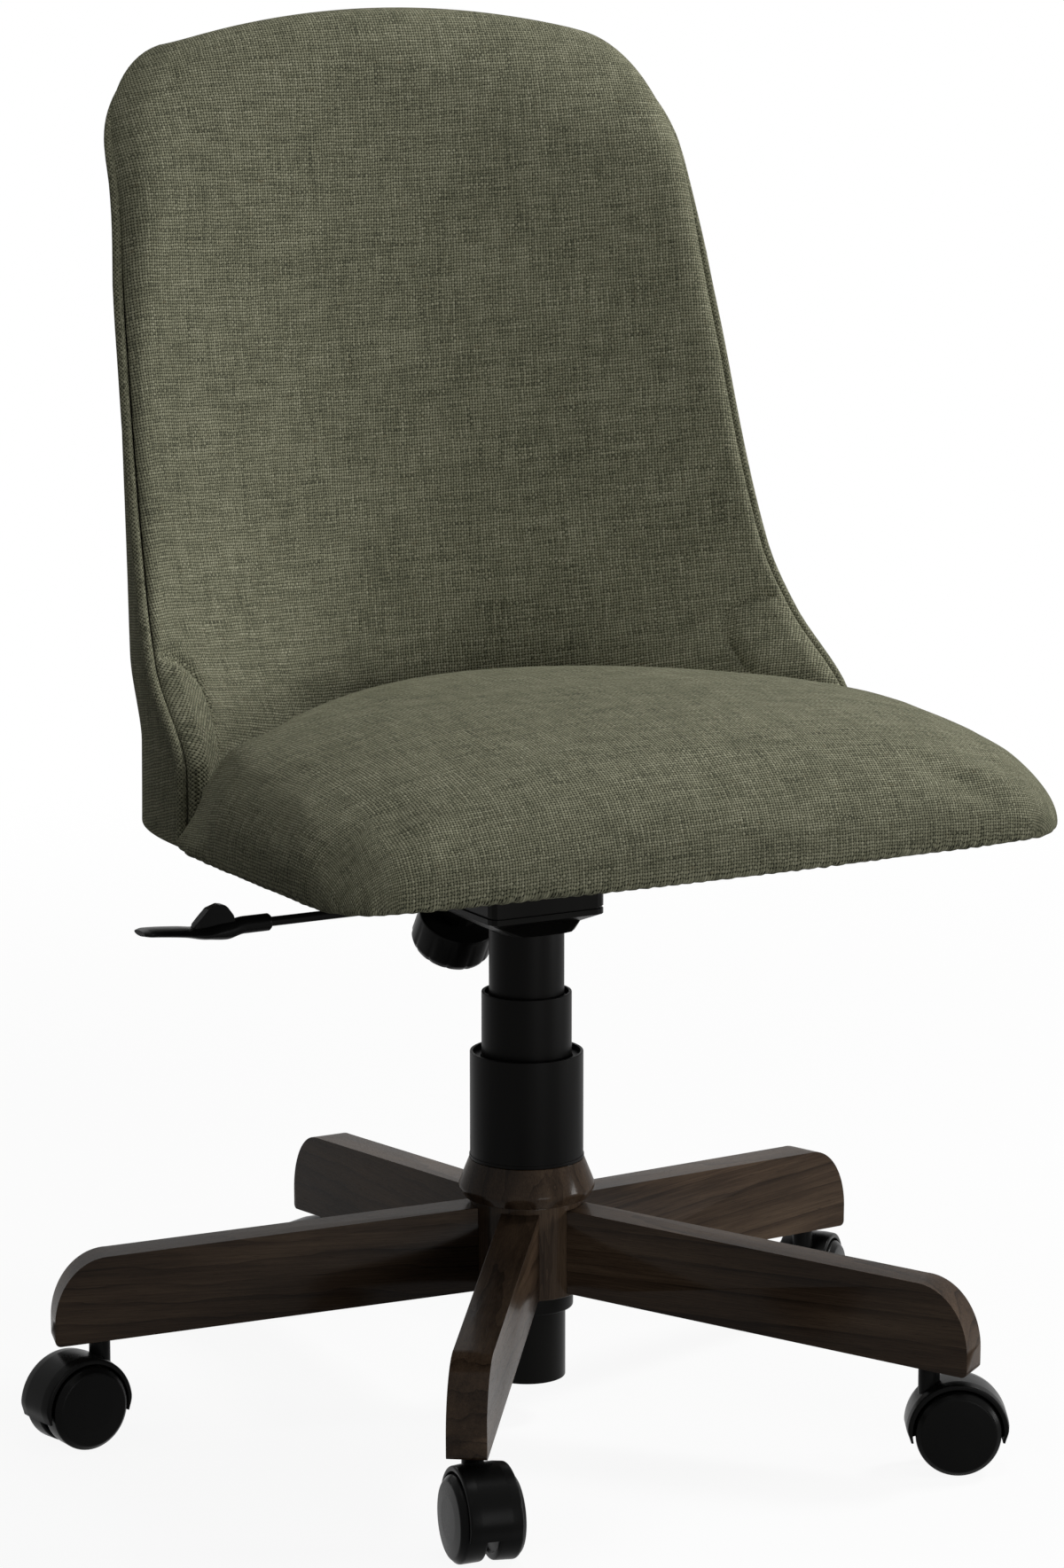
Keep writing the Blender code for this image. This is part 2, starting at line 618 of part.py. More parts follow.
def build_column(base, spindle, carriage, middle):
    """Gas lift and its three-stage cover."""
    rod_hole = ROD_R + RUN
    tube = turned([
        (rod_hole, FLOOR_LOW), (TUBE_IN_R, FLOOR_LOW), (TUBE_IN_R, TUBE_BOTTOM),
        (TUBE_R - 0.001, TUBE_BOTTOM), (TUBE_R, TUBE_BOTTOM + 0.001), (TUBE_R, TUBE_TOP),
        (TUBE_IN_R, TUBE_TOP), (TUBE_IN_R, FLOOR_HIGH), (rod_hole, FLOOR_HIGH)], 24)
    add_object("lift_tube", mesh_from("lift_tube", tube), black_metal(), base)
    bush_in = CYLINDER_R + RUN
    bush = turned([
        (bush_in, TUBE_TOP - BUSH_LENGTH), (TUBE_IN_R - GAP, TUBE_TOP - BUSH_LENGTH),
        (TUBE_IN_R - GAP, TUBE_TOP + GAP), (TUBE_R, TUBE_TOP + GAP), (TUBE_R, TUBE_TOP + 0.002),
        (bush_in, TUBE_TOP + 0.002)], 16)
    add_object("guide_bush", mesh_from("guide_bush", bush), black_plastic(), base)
    bearing_low = FLOOR_HIGH + GAP
    bearing = turned([(rod_hole, bearing_low), (BEARING_R, bearing_low),
                      (BEARING_R, bearing_low + BEARING_HEIGHT), (rod_hole, bearing_low + BEARING_HEIGHT)], 14)
    add_object("thrust_bearing", mesh_from("thrust_bearing", bearing), steel(), spindle)
    clip_high = FLOOR_LOW - GAP
    clip = turned([(rod_hole - GAP, clip_high - CLIP_THICK), (CLIP_R, clip_high - CLIP_THICK),
                   (CLIP_R, clip_high), (rod_hole - GAP, clip_high)], 12)
    add_object("retaining_clip", mesh_from("retaining_clip", clip), steel(), spindle)
    cavity_r = CYLINDER_R - CYLINDER_WALL
    rod_foot = FLOOR_LOW - 0.004
    piston_r = cavity_r - RUN
    rod = turned([(0.0, rod_foot), (ROD_R - 0.0002, rod_foot), (ROD_R - 0.0002, PISTON_Z), (piston_r, PISTON_Z),
                  (piston_r, PISTON_Z + PISTON_LENGTH), (0.0, PISTON_Z + PISTON_LENGTH)], 14)
    add_object("piston_rod", mesh_from("piston_rod", rod), steel(), spindle)
    head = CYLINDER_TOP - CYLINDER_HEAD
    valve_hole = VALVE_R + RUN
    valve_low = CYLINDER_TOP + VALVE_PROUD - VALVE_LENGTH
    hole_floor = valve_low - VALVE_TRAVEL
    cylinder = turned([
        (rod_hole, CYLINDER_BOTTOM), (CYLINDER_R - 0.001, CYLINDER_BOTTOM),
        (CYLINDER_R, CYLINDER_BOTTOM + 0.001), (CYLINDER_R, HOUSING_BOTTOM),
        (CYLINDER_R - 0.0012, CYLINDER_TOP), (valve_hole, CYLINDER_TOP), (valve_hole, hole_floor),
        (0.0, hole_floor), (0.0, head), (cavity_r, head), (cavity_r, CYLINDER_BOTTOM + 0.006),
        (rod_hole, CYLINDER_BOTTOM + 0.006)], 16)
    add_object("gas_cylinder", mesh_from("gas_cylinder", cylinder), black_metal(), carriage)
    add_object("valve_button", mesh_from("valve_button", disc(VALVE_R, valve_low, valve_low + VALVE_LENGTH, 16)),
               steel(), carriage)
    lower = sleeve(LOWER_R, LOWER_BOTTOM, LOWER_TOP, TUBE_R + RUN, LOWER_R + 0.0005, MIDDLE_R + RUN)
    add_object("sleeve_lower", mesh_from("sleeve_lower", lower), black_plastic(), base)
    lower_in = LOWER_R - SLEEVE_WALL
    middle_in = MIDDLE_R - SLEEVE_WALL
    stage = sleeve(MIDDLE_R, MIDDLE_BOTTOM, MIDDLE_TOP, middle_in, lower_in - RUN, UPPER_R + RUN)
    add_object("sleeve_middle", mesh_from("sleeve_middle", stage), black_plastic(), middle)
    upper_in = UPPER_R - SLEEVE_WALL
    top = sleeve(UPPER_R, UPPER_BOTTOM, UPPER_TOP, upper_in, middle_in - RUN, CYLINDER_R + GAP)
    add_object("sleeve_upper", mesh_from("sleeve_upper", top), black_plastic(), carriage)


def rounded_box(half, front, back, corner, inset=0.0):
    """Plan outline of the mechanism, as (x, y) points, with rounded corners and an optional inset."""
    half, front, back = half - inset, front - inset, back - inset
    radius = max(corner - inset, 0.002)
    points = []
    for cx, cy, first in ((half - radius, -(front - radius), -90), (half - radius, back - radius, 0),
                          (-(half - radius), back - radius, 90), (-(half - radius), -(front - radius), 180)):
        for step in range(4):
            angle = math.radians(first + 30 * step)
            points.append((cx + radius * math.cos(angle), cy + radius * math.sin(angle)))
    return points


def bolt_axis():
    """Place of the knob's underside and the direction up the tension bolt."""
    lean = math.radians(KNOB_LEAN)
    return Vector((0.0, KNOB_Y, KNOB_Z)), Vector((0.0, -math.sin(lean), math.cos(lean)))


def along_bolt(bm):
    """Move a shape made along +Z from the origin on to the tension bolt's axis."""
    foot, up = bolt_axis()
    return moved(bm, Matrix.Translation(foot) @ up.to_track_quat("Z", "X").to_matrix().to_4x4())


def bolt_length_to(height):
    """Length along the bolt's axis from the knob's underside to a height."""
    foot, up = bolt_axis()
    return (height - foot.z) / up.z


def housing_mesh():
    """The mechanism's fixed channel: dished underside, lip, walls, cylinder socket and spring barrel."""
    outline = rounded_box(HOUSING_HALF, HOUSING_FRONT, HOUSING_BACK, HOUSING_CORNER)
    grooved = rounded_box(HOUSING_HALF, HOUSING_FRONT, HOUSING_BACK, HOUSING_CORNER, GROOVE)
    dish = rounded_box(HOUSING_HALF, HOUSING_FRONT, HOUSING_BACK, HOUSING_CORNER, 0.012)
    foot_front = HOUSING_FRONT - 0.002
    foot = rounded_box(CYLINDER_R + SOCKET_WALL + 0.006, foot_front, foot_front, 0.014)
    lip_low = HOUSING_BOTTOM + HOUSING_DISH
    lip_high = lip_low + LIP_HEIGHT
    top = PLATE_BOTTOM - 0.0008
    levels = ((foot, HOUSING_BOTTOM), (dish, HOUSING_BOTTOM + 0.45 * HOUSING_DISH), (outline, lip_low),
              (outline, lip_high), (grooved, lip_high + 0.0003), (grooved, lip_high + 0.0013),
              (outline, lip_high + 0.0016), (outline, top))
    shell = loft([[(x, y, z) for x, y in ring] for ring, z in levels])
    hollow = rounded_box(HOUSING_HALF, HOUSING_FRONT, HOUSING_BACK, HOUSING_CORNER, HOUSING_WALL + GROOVE)
    space = prism(hollow, FLOOR_Z, top + 0.02)
    slope = math.tan(math.radians(TILT_MAX + 0.8))
    far = HOUSING_BACK + 0.03
    ramp = [(PIVOT_Y, top), (far, top - slope * (far - PIVOT_Y)), (far, top + 0.02), (PIVOT_Y, top + 0.02)]
    wedge = loft([[(x, y, z) for y, z in ramp] for x in (-0.06, 0.06)])
    socket = disc(CYLINDER_R + SOCKET_WALL, HOUSING_BOTTOM + 0.002, CYLINDER_TOP - SOCKET_SHORT, 18)
    barrel_top = bolt_length_to(FLOOR_Z + BARREL_RISE)
    barrel = along_bolt(disc(BARREL_R, KNOB_HEIGHT + GAP, barrel_top, 14))
    bolt_hole = along_bolt(disc(BOLT_ROD_R + RUN, 0.0, barrel_top + 0.05, 10))
    bore = turned([(0.0, HOUSING_BOTTOM - 0.01), (CYLINDER_R + GAP, HOUSING_BOTTOM - 0.01),
                   (CYLINDER_R + GAP, HOUSING_BOTTOM), (CYLINDER_R + GAP, CYLINDER_TOP + 0.01),
                   (0.0, CYLINDER_TOP + 0.01)], 16)
    across = Matrix.Translation((0, PIVOT_Y, PIVOT_Z)) @ turn_about("Y", 90)
    pin_hole = moved(disc(PIVOT_R + GAP, -0.06, 0.06, 12), across)
    lever_hole = moved(disc(LEVER_ROD_R + 0.0012, -0.01, 0.01, 12),
                       Matrix.Translation((LEVER_PIVOT_X, 0, LEVER_Z)) @ turn_about("Y", 90))
    return combine("mechanism_housing", shell, [
        ("DIFFERENCE", space), ("DIFFERENCE", wedge), ("UNION", socket), ("UNION", barrel),
        ("DIFFERENCE", bore), ("DIFFERENCE", bolt_hole), ("DIFFERENCE", pin_hole), ("DIFFERENCE", lever_hole)])


def plate_mesh():
    """The tilting plate: flat, with two ears on the pivot pin and a fork on the spring."""
    plate = prism(rounded_box(PLATE_HALF_X, PLATE_FRONT, PLATE_BACK, 0.012), PLATE_BOTTOM, PLATE_TOP)
    steps = []
    ear_half = EAR_THICK / 2
    for side in (-1, 1):
        rings = []
        for x in (side * EAR_X - ear_half, side * EAR_X + ear_half):
            ring = [(x, PIVOT_Y + EAR_R, PLATE_BOTTOM + 0.001), (x, PIVOT_Y - EAR_R, PLATE_BOTTOM + 0.001)]
            for step in range(9):
                angle = math.pi + math.pi * step / 8
                ring.append((x, PIVOT_Y + EAR_R * math.cos(angle), PIVOT_Z + EAR_R * math.sin(angle)))
            rings.append(ring)
        steps.append(("UNION", loft(rings)))
    foot, up = bolt_axis()
    tip = foot + up * spring_span()[1]
    for side in (-1, 1):
        low_x, high_x = sorted((side * FORK_IN, side * FORK_OUT))
        steps.append(("UNION", box((low_x, tip.y - FORK_DEPTH / 2, tip.z + SPRING_R * 0.5 + SPRING_WIRE_R),
                                   (high_x, tip.y + FORK_DEPTH / 2, PLATE_BOTTOM + 0.001))))
    across = Matrix.Translation((0, PIVOT_Y, PIVOT_Z)) @ turn_about("Y", 90)
    steps.append(("DIFFERENCE", moved(disc(PIVOT_R + GAP, -0.06, 0.06, 12), across)))
    for x, y in bolt_places():
        hole = moved(disc(BOLT_R + GAP, PLATE_BOTTOM - 0.01, PLATE_TOP + 0.01, 8), Matrix.Translation((x, y, 0)))
        steps.append(("DIFFERENCE", hole))
    return combine("seat_plate", plate, steps)


def bolt_places():
    """Plan positions of the four bolts that hold the plate to the seat board."""
    return [(side * PLATE_BOLT_X, y) for side in (-1, 1) for y in (-PLATE_BOLT_FRONT, PLATE_BOLT_BACK)]


def spring_span():
    """Start and end of the spring, as lengths up the bolt's axis from the knob's underside."""
    lowest = FLOOR_Z + SPRING_WIRE_R + GAP
    start = bolt_length_to(lowest + SPRING_R * math.sin(math.radians(KNOB_LEAN)))
    end = bolt_length_to(PLATE_BOTTOM - 0.020)
    return start, end


def spring_curve(parent):
    """The tension spring: one unbroken helix about the bolt."""
    low, high = spring_span()
    per_turn = 10
    count = SPRING_TURNS * per_turn
    foot, up = bolt_axis()
    side = Vector((1.0, 0.0, 0.0))
    over = up.cross(side)
    curve = bpy.data.curves.new("tension_spring", "CURVE")
    curve.dimensions = "3D"
    line = curve.splines.new("POLY")
    line.points.add(count)
    for i in range(count + 1):
        angle = math.tau * i / per_turn
        centre = foot + up * (low + (high - low) * i / count)
        point = centre + side * (SPRING_R * math.sin(angle)) - over * (SPRING_R * math.cos(angle))
        line.points[i].co = (*point, 1.0)
    curve.bevel_depth = SPRING_WIRE_R
    curve.bevel_resolution = 1
    curve.use_fill_caps = True
    curve.materials.append(steel())
    spring = bpy.data.objects.new("tension_spring", curve)
    bpy.context.scene.collection.objects.link(spring)
    spring.parent = parent
    pitch = (high - low) / SPRING_TURNS
    print("tension spring, least gap between its turns in mm:", round((pitch - 2 * SPRING_WIRE_R) * 1000, 2))


def knob_mesh():
    """The tension knob about its axis: a cup with shallow finger grips and a rounded foot."""
    sides = KNOB_GRIPS * 3
    rings = []
    for radius, height in ((KNOB_R * 0.80, 0.0), (KNOB_R * 0.95, 0.0010), (KNOB_R, 0.0035),
                           (KNOB_R * 0.985, KNOB_HEIGHT - 0.003), (KNOB_R * 0.90, KNOB_HEIGHT)):
        ring = []
        for i in range(sides):
            dip = GRIP_DEPTH if i % 3 == 0 else 0.0
            angle = math.tau * i / sides
            ring.append(((radius - dip) * math.cos(angle), (radius - dip) * math.sin(angle), height))
        rings.append(ring)
    hole = disc(BOLT_ROD_R + GAP, BOLT_HOLE_FLOOR, KNOB_HEIGHT + 0.01, 10)
    return combine("tension_knob", along_bolt(loft(rings)), [("DIFFERENCE", along_bolt(hole))])


def build_mechanism(carriage, tilt):
    """Housing, tilting plate, pivot pin, tension spring, its bolt and knob."""
    add_object("mechanism_housing", housing_mesh(), black_metal(), carriage)
    pin = moved(disc(PIVOT_R, -HOUSING_HALF + 0.0008, HOUSING_HALF - 0.0008, 12),
                Matrix.Translation((0, PIVOT_Y, PIVOT_Z)) @ turn_about("Y", 90))
    add_object("pivot_pin", mesh_from("pivot_pin", pin), steel(), carriage)
    spring_curve(carriage)
    rod_top = spring_span()[1] - 0.004
    rod = along_bolt(disc(BOLT_ROD_R, BOLT_HOLE_FLOOR + 2 * GAP, rod_top, 10))
    add_object("tension_bolt", mesh_from("tension_bolt", rod), steel(), carriage)
    add_object("tension_knob", knob_mesh(), black_plastic(), carriage)
    add_object("seat_plate", plate_mesh(), black_metal(), tilt)


def tube_along(points, radius, sides):
    """Rings of a round bar along points in the X-Z plane."""
    rings = []
    for i, point in enumerate(points):
        before = points[max(i - 1, 0)]
        after = points[min(i + 1, len(points) - 1)]
        run = Vector((after[0] - before[0], 0.0, after[1] - before[1])).normalized()
        up = Vector((-run.z, 0.0, run.x))
        ring = []
        for k in range(sides):
            angle = math.tau * k / sides
            offset = up * (radius * math.sin(angle)) + Vector((0, radius * math.cos(angle), 0))
            ring.append(Vector((point[0], 0.0, point[1])) + offset)
        rings.append(ring)
    return rings


def build_lever(carriage):
    """Bent rod through the housing's wall, and the paddle handle on its outer end."""
    inner = LEVER_PIVOT_X + 0.008
    over = -(CYLINDER_R * 0.75)
    path = [(-LEVER_ROD_END, LEVER_Z), (LEVER_PIVOT_X, LEVER_Z), (inner, LEVER_Z),
            (inner + 0.0035, LEVER_Z + 0.0025), (over - LEVER_RISE_AWAY, LEVER_TIP_Z - 0.0035),
            (over, LEVER_TIP_Z), (VALVE_R + 0.001, LEVER_TIP_Z)]
    rod = loft(tube_along(path, LEVER_ROD_R, 10))
    add_object("lever_rod", mesh_from("lever_rod", rod), black_metal(), carriage)
    # Stations along the handle: distance out, half-depth, half-height, height of its middle
    stations = ((0.0, 0.0050, 0.0050, 0.0), (0.001, HANDLE_R, HANDLE_R, 0.0), (0.018, HANDLE_R, HANDLE_R, 0.0),
                (0.030, 0.0075, 0.0058, -0.0020), (0.045, 0.0105, 0.0040, -0.0022),
                (0.062, 0.0120, 0.0029, 0.0002), (0.084, 0.0110, 0.0024, 0.0022), (0.089, 0.0075, 0.0019, 0.0024))
    rings = []
    for out, half_y, half_z, lift in stations:
        ring = []
        for k in range(12):
            angle = math.tau * k / 12
            ring.append((-(HANDLE_START + out), half_y * math.cos(angle), LEVER_Z + lift + half_z * math.sin(angle)))
        rings.append(ring)
    tab_outline = ((0.024, 0.000), (0.026, 0.0075), (0.031, 0.0142), (0.036, 0.0152), (0.043, 0.0130),
                   (0.049, 0.0070), (0.055, 0.0005))
    tab = []
    for y in (-0.0032, 0.0032):
        tab.append([(-(HANDLE_START + out), y, LEVER_Z + high) for out, high in tab_outline])
    bore = moved(disc(LEVER_ROD_R + GAP, HANDLE_START - 0.01, LEVER_ROD_END + GAP, 14),
                 Matrix.Translation((0, 0, LEVER_Z)) @ turn_about("Y", -90))
    handle = combine("lever_handle", loft(rings), [("UNION", loft(tab)), ("DIFFERENCE", bore)])
    add_object("lever_handle", handle, black_plastic(), carriage)


def seat_outline(grow, front_bow=SEAT_FRONT_BOW):
    """Plan of the seat at its bottom edge, grown outwards: square front, rear tucked inside the back."""
    half = SEAT_HALF + grow
    front = SEAT_FRONT + grow
    corner = SEAT_CORNER + max(grow, 0.0)
    right = []
    for step in range(5):
        x = (half - corner) * step / 4
        right.append((x, -front - front_bow * (1 - (x / (half - corner)) ** 2)))
    for step in range(1, 7):
        angle = math.radians(-90 + 15 * step)
        right.append((half - corner + corner * math.cos(angle), -front + corner + corner * math.sin(angle)))
    for step in range(1, 4):
        t = step / 3
        y = (-front + corner) * (1 - t) + SEAT_SIDE_END * t
        right.append((half - 0.004 * t * t, y))
    wing = between(SEAT_BOTTOM + SEAT_BULGE_Z, BACK_WIDTH) - NOSE_WIDTH
    right.append((wing - WING_TUCK, SEAT_WING_END + 0.3 * min(grow, 0.0)))
    face = between(SEAT_BOTTOM + SEAT_BULGE_Z, BACK_FACE)
    edge = between(SEAT_BOTTOM + SEAT_BULGE_Z, BACK_EDGE) - NOSE_DEPTH
    tuck = REAR_TUCK - min(grow, 0.0)
    for step in range(1, 8):
        x = (wing - WING_TUCK) * (1 - step / 7)
        y = face - (face - edge) * wrap(x, wing, SEAT_BOTTOM + SEAT_BULGE_Z) - tuck
        right.append((x, max(y, SEAT_WING_END)))
    left = [(-x, y) for x, y in right[1:-1]]
    return right + left[::-1]


def corner_drop(x, y):
    """How much lower the padding lies near the front corners."""
    across = min(1.0, abs(x) / (SEAT_HALF + SEAT_BULGE))
    along = min(1.0, max(0.0, -y / (SEAT_FRONT + SEAT_BULGE)))
    return CORNER_DROP * (across * along) ** 4


def crown_height(x, y):
    """Height of the cushion's top: a soft crown that rolls over at the front and sides."""
    reach_y = CROWN_FRONT if y < CROWN_Y else CROWN_BACK
    across = abs(x) / (SEAT_HALF + SEAT_BULGE)
    along = abs(y - CROWN_Y) / reach_y
    out = min(1.0, (across ** 3 + along ** 3) ** (1 / 3))
    rim = SEAT_EDGE_Z - CROWN_START
    return SEAT_BOTTOM + rim + (SEAT_CROWN - rim) * (1 - out ** 2.8) ** 0.85 - corner_drop(x, y)


def cushion_mesh():
    """Seat cushion: drawn-in underside, bulging sides and a high crown, notched for the seat board."""
    half_x, half_y = CUSHION_OVAL
    plain = []
    for x, y in seat_outline(0.0):
        angle = math.atan2(y - CUSHION_MIDDLE_Y, x)
        plain.append((half_x * math.cos(angle), CUSHION_MIDDLE_Y + half_y * math.sin(angle)))
    # Outward growth of the outline at each height above the bottom edge, and share of the corner drop
    levels = ((-0.012, 0.0, 0.0), (0.001, 0.0010, 0.0), (0.008, 0.006, 0.0), (SEAT_BULGE, SEAT_BULGE_Z, 0.0),
              (0.0085, SEAT_EDGE_Z - 0.019, 0.5), (-0.004, SEAT_EDGE_Z - 0.002, 1.0))
    rings = []
    for grow, rise, drop in levels:
        rings.append([(x, y, SEAT_BOTTOM + rise - drop * corner_drop(x, y)) for x, y in seat_outline(grow)])
    rim = seat_outline(-0.004)
    for step in range(1, CUSHION_RINGS):
        t = step / CUSHION_RINGS
        shrink = 1 - t
        mix = min(1.0, 1.6 * t)
        ring = []
        for (x, y), (px, py) in zip(rim, plain):
            bx = (x * (1 - mix) + px * mix) * shrink
            by = CUSHION_MIDDLE_Y + (y * (1 - mix) + py * mix - CUSHION_MIDDLE_Y) * shrink
            ring.append((bx, by, crown_height(bx, by)))
        rings.append(ring)
    bm = loft(rings)
    bmesh.ops.triangulate(bm, faces=[f for f in bm.faces if len(f.verts) > 4])
    notch = prism(board_outline(GAP), SEAT_BOTTOM - 0.01, BOARD_TOP + GAP)
    return combine("seat_cushion", bm, [("DIFFERENCE", notch)])


def board_outline(grow):
    """Plan of the seat board: inside the cushion's rim, reaching back to the shell."""
    half = SEAT_HALF - BOARD_INSET + grow
    front = SEAT_FRONT - BOARD_INSET + grow
    corner = BOARD_CORNER
    level = (BOARD_BOTTOM + BOARD_TOP) / 2
    right = [(0.0, -front), (half - corner, -front)]
    for step in range(1, 5):
        angle = math.radians(-90 + 22.5 * step)
        right.append((half - corner + corner * math.cos(angle), -front + corner + corner * math.sin(angle)))
    right.append((half, BOARD_SIDE_END))
    shell_line = back_line(level, SHELL_FROM)[SHELL_STEPS:]
    reach = [(x, y) for x, y in shell_line if x < half - 0.004]
    for x, y in reach:
        away = BOARD_CLEAR - grow
        right.append((max(x - away / 2, 0.0), y - away))
    left = [(-x, y) for x, y in right[1:-1]]
    return right + left[::-1]


def wrap(x, reach, level):
    """Share of the wrap-round depth at x: a hyperbola, tighter low down where the back cups the seat."""
    bend = between(level, FACE_BEND)
    return (math.hypot(x, bend) - bend) / (math.hypot(reach, bend) - bend)


def back_profile(level):
    """Half-width, piping depth, rear depth, face depth and rear squareness of the back at a height."""
    return (between(level, BACK_WIDTH), between(level, BACK_EDGE), between(level, BACK_REAR),
            between(level, BACK_FACE), between(level, REAR_SQUARENESS))


def back_faces(level, corner_angle=0.0):
    """Front and rear lines of the back's right half, from the piping to the middle, as (x, y) points."""
    half, edge, rear, face, power = back_profile(level)
    shrink = math.cos(corner_angle) ** TOP_SQUARENESS
    half = half - BACK_CORNER * (1 - math.cos(corner_angle))
    rear = edge + (rear - edge) * shrink
    face = edge + (face - edge) * shrink
    nose = NOSE_DEPTH * (0.35 + 0.65 * shrink)
    tip_x, tip_y = half - NOSE_WIDTH, edge - nose
    front = []
    for step in range(5):
        angle = math.pi / 2 * step / 4
        front.append((tip_x + NOSE_WIDTH * math.cos(angle), edge - nose * math.sin(angle)))
    for step in range(1, 25):
        x = tip_x * (1 - step / 24)
        front.append((x, face - (face - tip_y) * wrap(x, tip_x, level)))
    back = []
    for step in range(33):
        angle = math.pi / 2 * step / 32
        x = half * math.cos(angle) ** (2 / power)
        y = edge + (rear - edge) * math.sin(angle) ** (2 / power)
        back.append((x, y))
    return front, back


def edge_sink(share):
    """How far a layer's face starts from the piping: the visible faces come close to it."""
    return EDGE_SINK if share in (0.0, 1.0) else INNER_SINK


def top_sink(share):
    """How far a layer's face ends below the piping's line at the top."""
    return TOP_SINK if share in (0.0, 1.0) else INNER_SINK


def back_line(level, share, corner_angle=0.0):
    """A line inside the back's thickness: share 0 is the front face and 1 the rear face."""
    front, back = back_faces(level, corner_angle)
    front = resample(front, BACK_COLUMNS, edge_sink(share))
    back = resample(back, BACK_COLUMNS, edge_sink(share))
    return [(x0 + (x1 - x0) * share, y0 + (y1 - y0) * share) for (x0, y0), (x1, y1) in zip(front, back)]


def arch_drop(x, level):
    """How far a point lies below its row's middle, because the top edge is arched."""
    share = min(max((level - ARCH_START) / (BACK_TOP - ARCH_START), 0.0), 1.0)
    return share * share * (3 - 2 * share) * x * x / (2 * BACK_ARCH_R)


def back_rows(bottom, sink):
    """Rows up the back: (height, corner angle), ending where the top edge turns over."""
    straight_end = BACK_TOP - BACK_CORNER
    heights = [h for h in BACK_ROWS if h > bottom + GAP]
    rows = [(bottom, 0.0)] + [(h, 0.0) for h in heights]
    for degrees in CORNER_DEGREES:
        angle = math.radians(degrees)
        rows.append((straight_end + (BACK_CORNER - sink) * math.sin(angle), angle))
    return rows


def back_body(bottom, from_share, to_share, inset=0):
    """A padded or solid layer of the back between two shares of its thickness.

    inset leaves out that many rows at the top and points at each side.
    """
    near_rows = back_rows(bottom, top_sink(from_share))
    far_rows = back_rows(bottom, top_sink(to_share))
    rings = []
    for (near_z, near_angle), (far_z, far_angle) in zip(near_rows, far_rows):
        near = [(x, y, near_z - arch_drop(x, near_z))
                for x, y in back_line(near_z, from_share, near_angle)[inset:]]
        far = [(x, y, far_z - arch_drop(x, far_z))
               for x, y in back_line(far_z, to_share, far_angle)[inset:]]
        loop = near + [(-x, y, z) for x, y, z in near[-2::-1]]
        loop += [(-x, y, z) for x, y, z in far[:-1]] + far[::-1]
        rings.append(loop)
    return loft(rings[:len(rings) - inset], split=True)


def piping_points():
    """Right half of the piping, bottom to top middle."""
    points = []
    for level, angle in back_rows(SEAT_BOTTOM + PIPING_R, 0.0):
        half, edge = back_profile(level)[:2]
        x = half - BACK_CORNER * (1 - math.cos(angle))
        height = level - arch_drop(x, level)
        points.append((x + PIPING_PROUD * math.cos(angle), edge, height + PIPING_PROUD * math.sin(angle)))
    half = between(BACK_TOP, BACK_WIDTH) - BACK_CORNER
    edge = between(BACK_TOP, BACK_EDGE)
    for step in range(1, 7):
        x = half * (1 - step / 6)
        points.append((x, edge, BACK_TOP + PIPING_PROUD - arch_drop(x, BACK_TOP)))
    return points


def piping_object(parent):
    """The welt cord that edges the back, from one bottom corner over the top to the other."""
    right = piping_points()
    points = right + [(-x, y, z) for x, y, z in right[-2::-1]]
    curve = bpy.data.curves.new("back_piping", "CURVE")
    curve.dimensions = "3D"
    line = curve.splines.new("POLY")
    line.points.add(len(points) - 1)
    for point, place in zip(line.points, points):
        point.co = (*place, 1.0)
    curve.bevel_depth = PIPING_R
    curve.bevel_resolution = 1
    curve.use_fill_caps = True
    curve.materials.append(fabric())
    welt = bpy.data.objects.new("back_piping", curve)
    bpy.context.scene.collection.objects.link(welt)
    welt.parent = parent


def build_seat(tilt):
    """Seat board with its dust cover, seat cushion, and the back in its layers."""
    board = prism(board_outline(0.0), BOARD_BOTTOM, BOARD_TOP)
    holes = []
    for x, y in bolt_places():
        holes.append(("DIFFERENCE", moved(disc(BOLT_R + GAP, BOARD_BOTTOM - 0.01, BOARD_TOP + 0.01, 8),
                                          Matrix.Translation((x, y, 0)))))
    add_object("seat_board", combine("seat_board", board, holes), plywood(), tilt)
    cover = prism([(x, y) for x, y in board_outline(-0.001)], SEAT_BOTTOM, SEAT_BOTTOM + COVER_THICK)
    cuts = []
    for x, y in bolt_places():
        cuts.append(("DIFFERENCE", moved(disc(BOLT_R + 2 * GAP, SEAT_BOTTOM - 0.01, SEAT_BOTTOM + 0.01, 8),
                                         Matrix.Translation((x, y, 0)))))
    add_object("dust_cover", combine("dust_cover", cover, cuts), dark_cloth(), tilt)
    add_object("seat_cushion", cushion_mesh(), fabric(), tilt, 60.0)
    pad = back_body(PAD_BOTTOM, 0.0, SHELL_FROM - LAYER_GAP)
    add_object("back_cushion", mesh_from("back_cushion", pad), fabric(), tilt, 60.0)
    shell = back_body(SEAT_BOTTOM, SHELL_FROM, SHELL_TO, SHELL_STEPS)
    add_object("back_shell", mesh_from("back_shell", shell), plywood(), tilt, 60.0)
    panel = back_body(SEAT_BOTTOM, SHELL_TO + LAYER_GAP, 1.0)
    add_object("back_panel", mesh_from("back_panel", panel), fabric(), tilt, 60.0)
    piping_object(tilt)


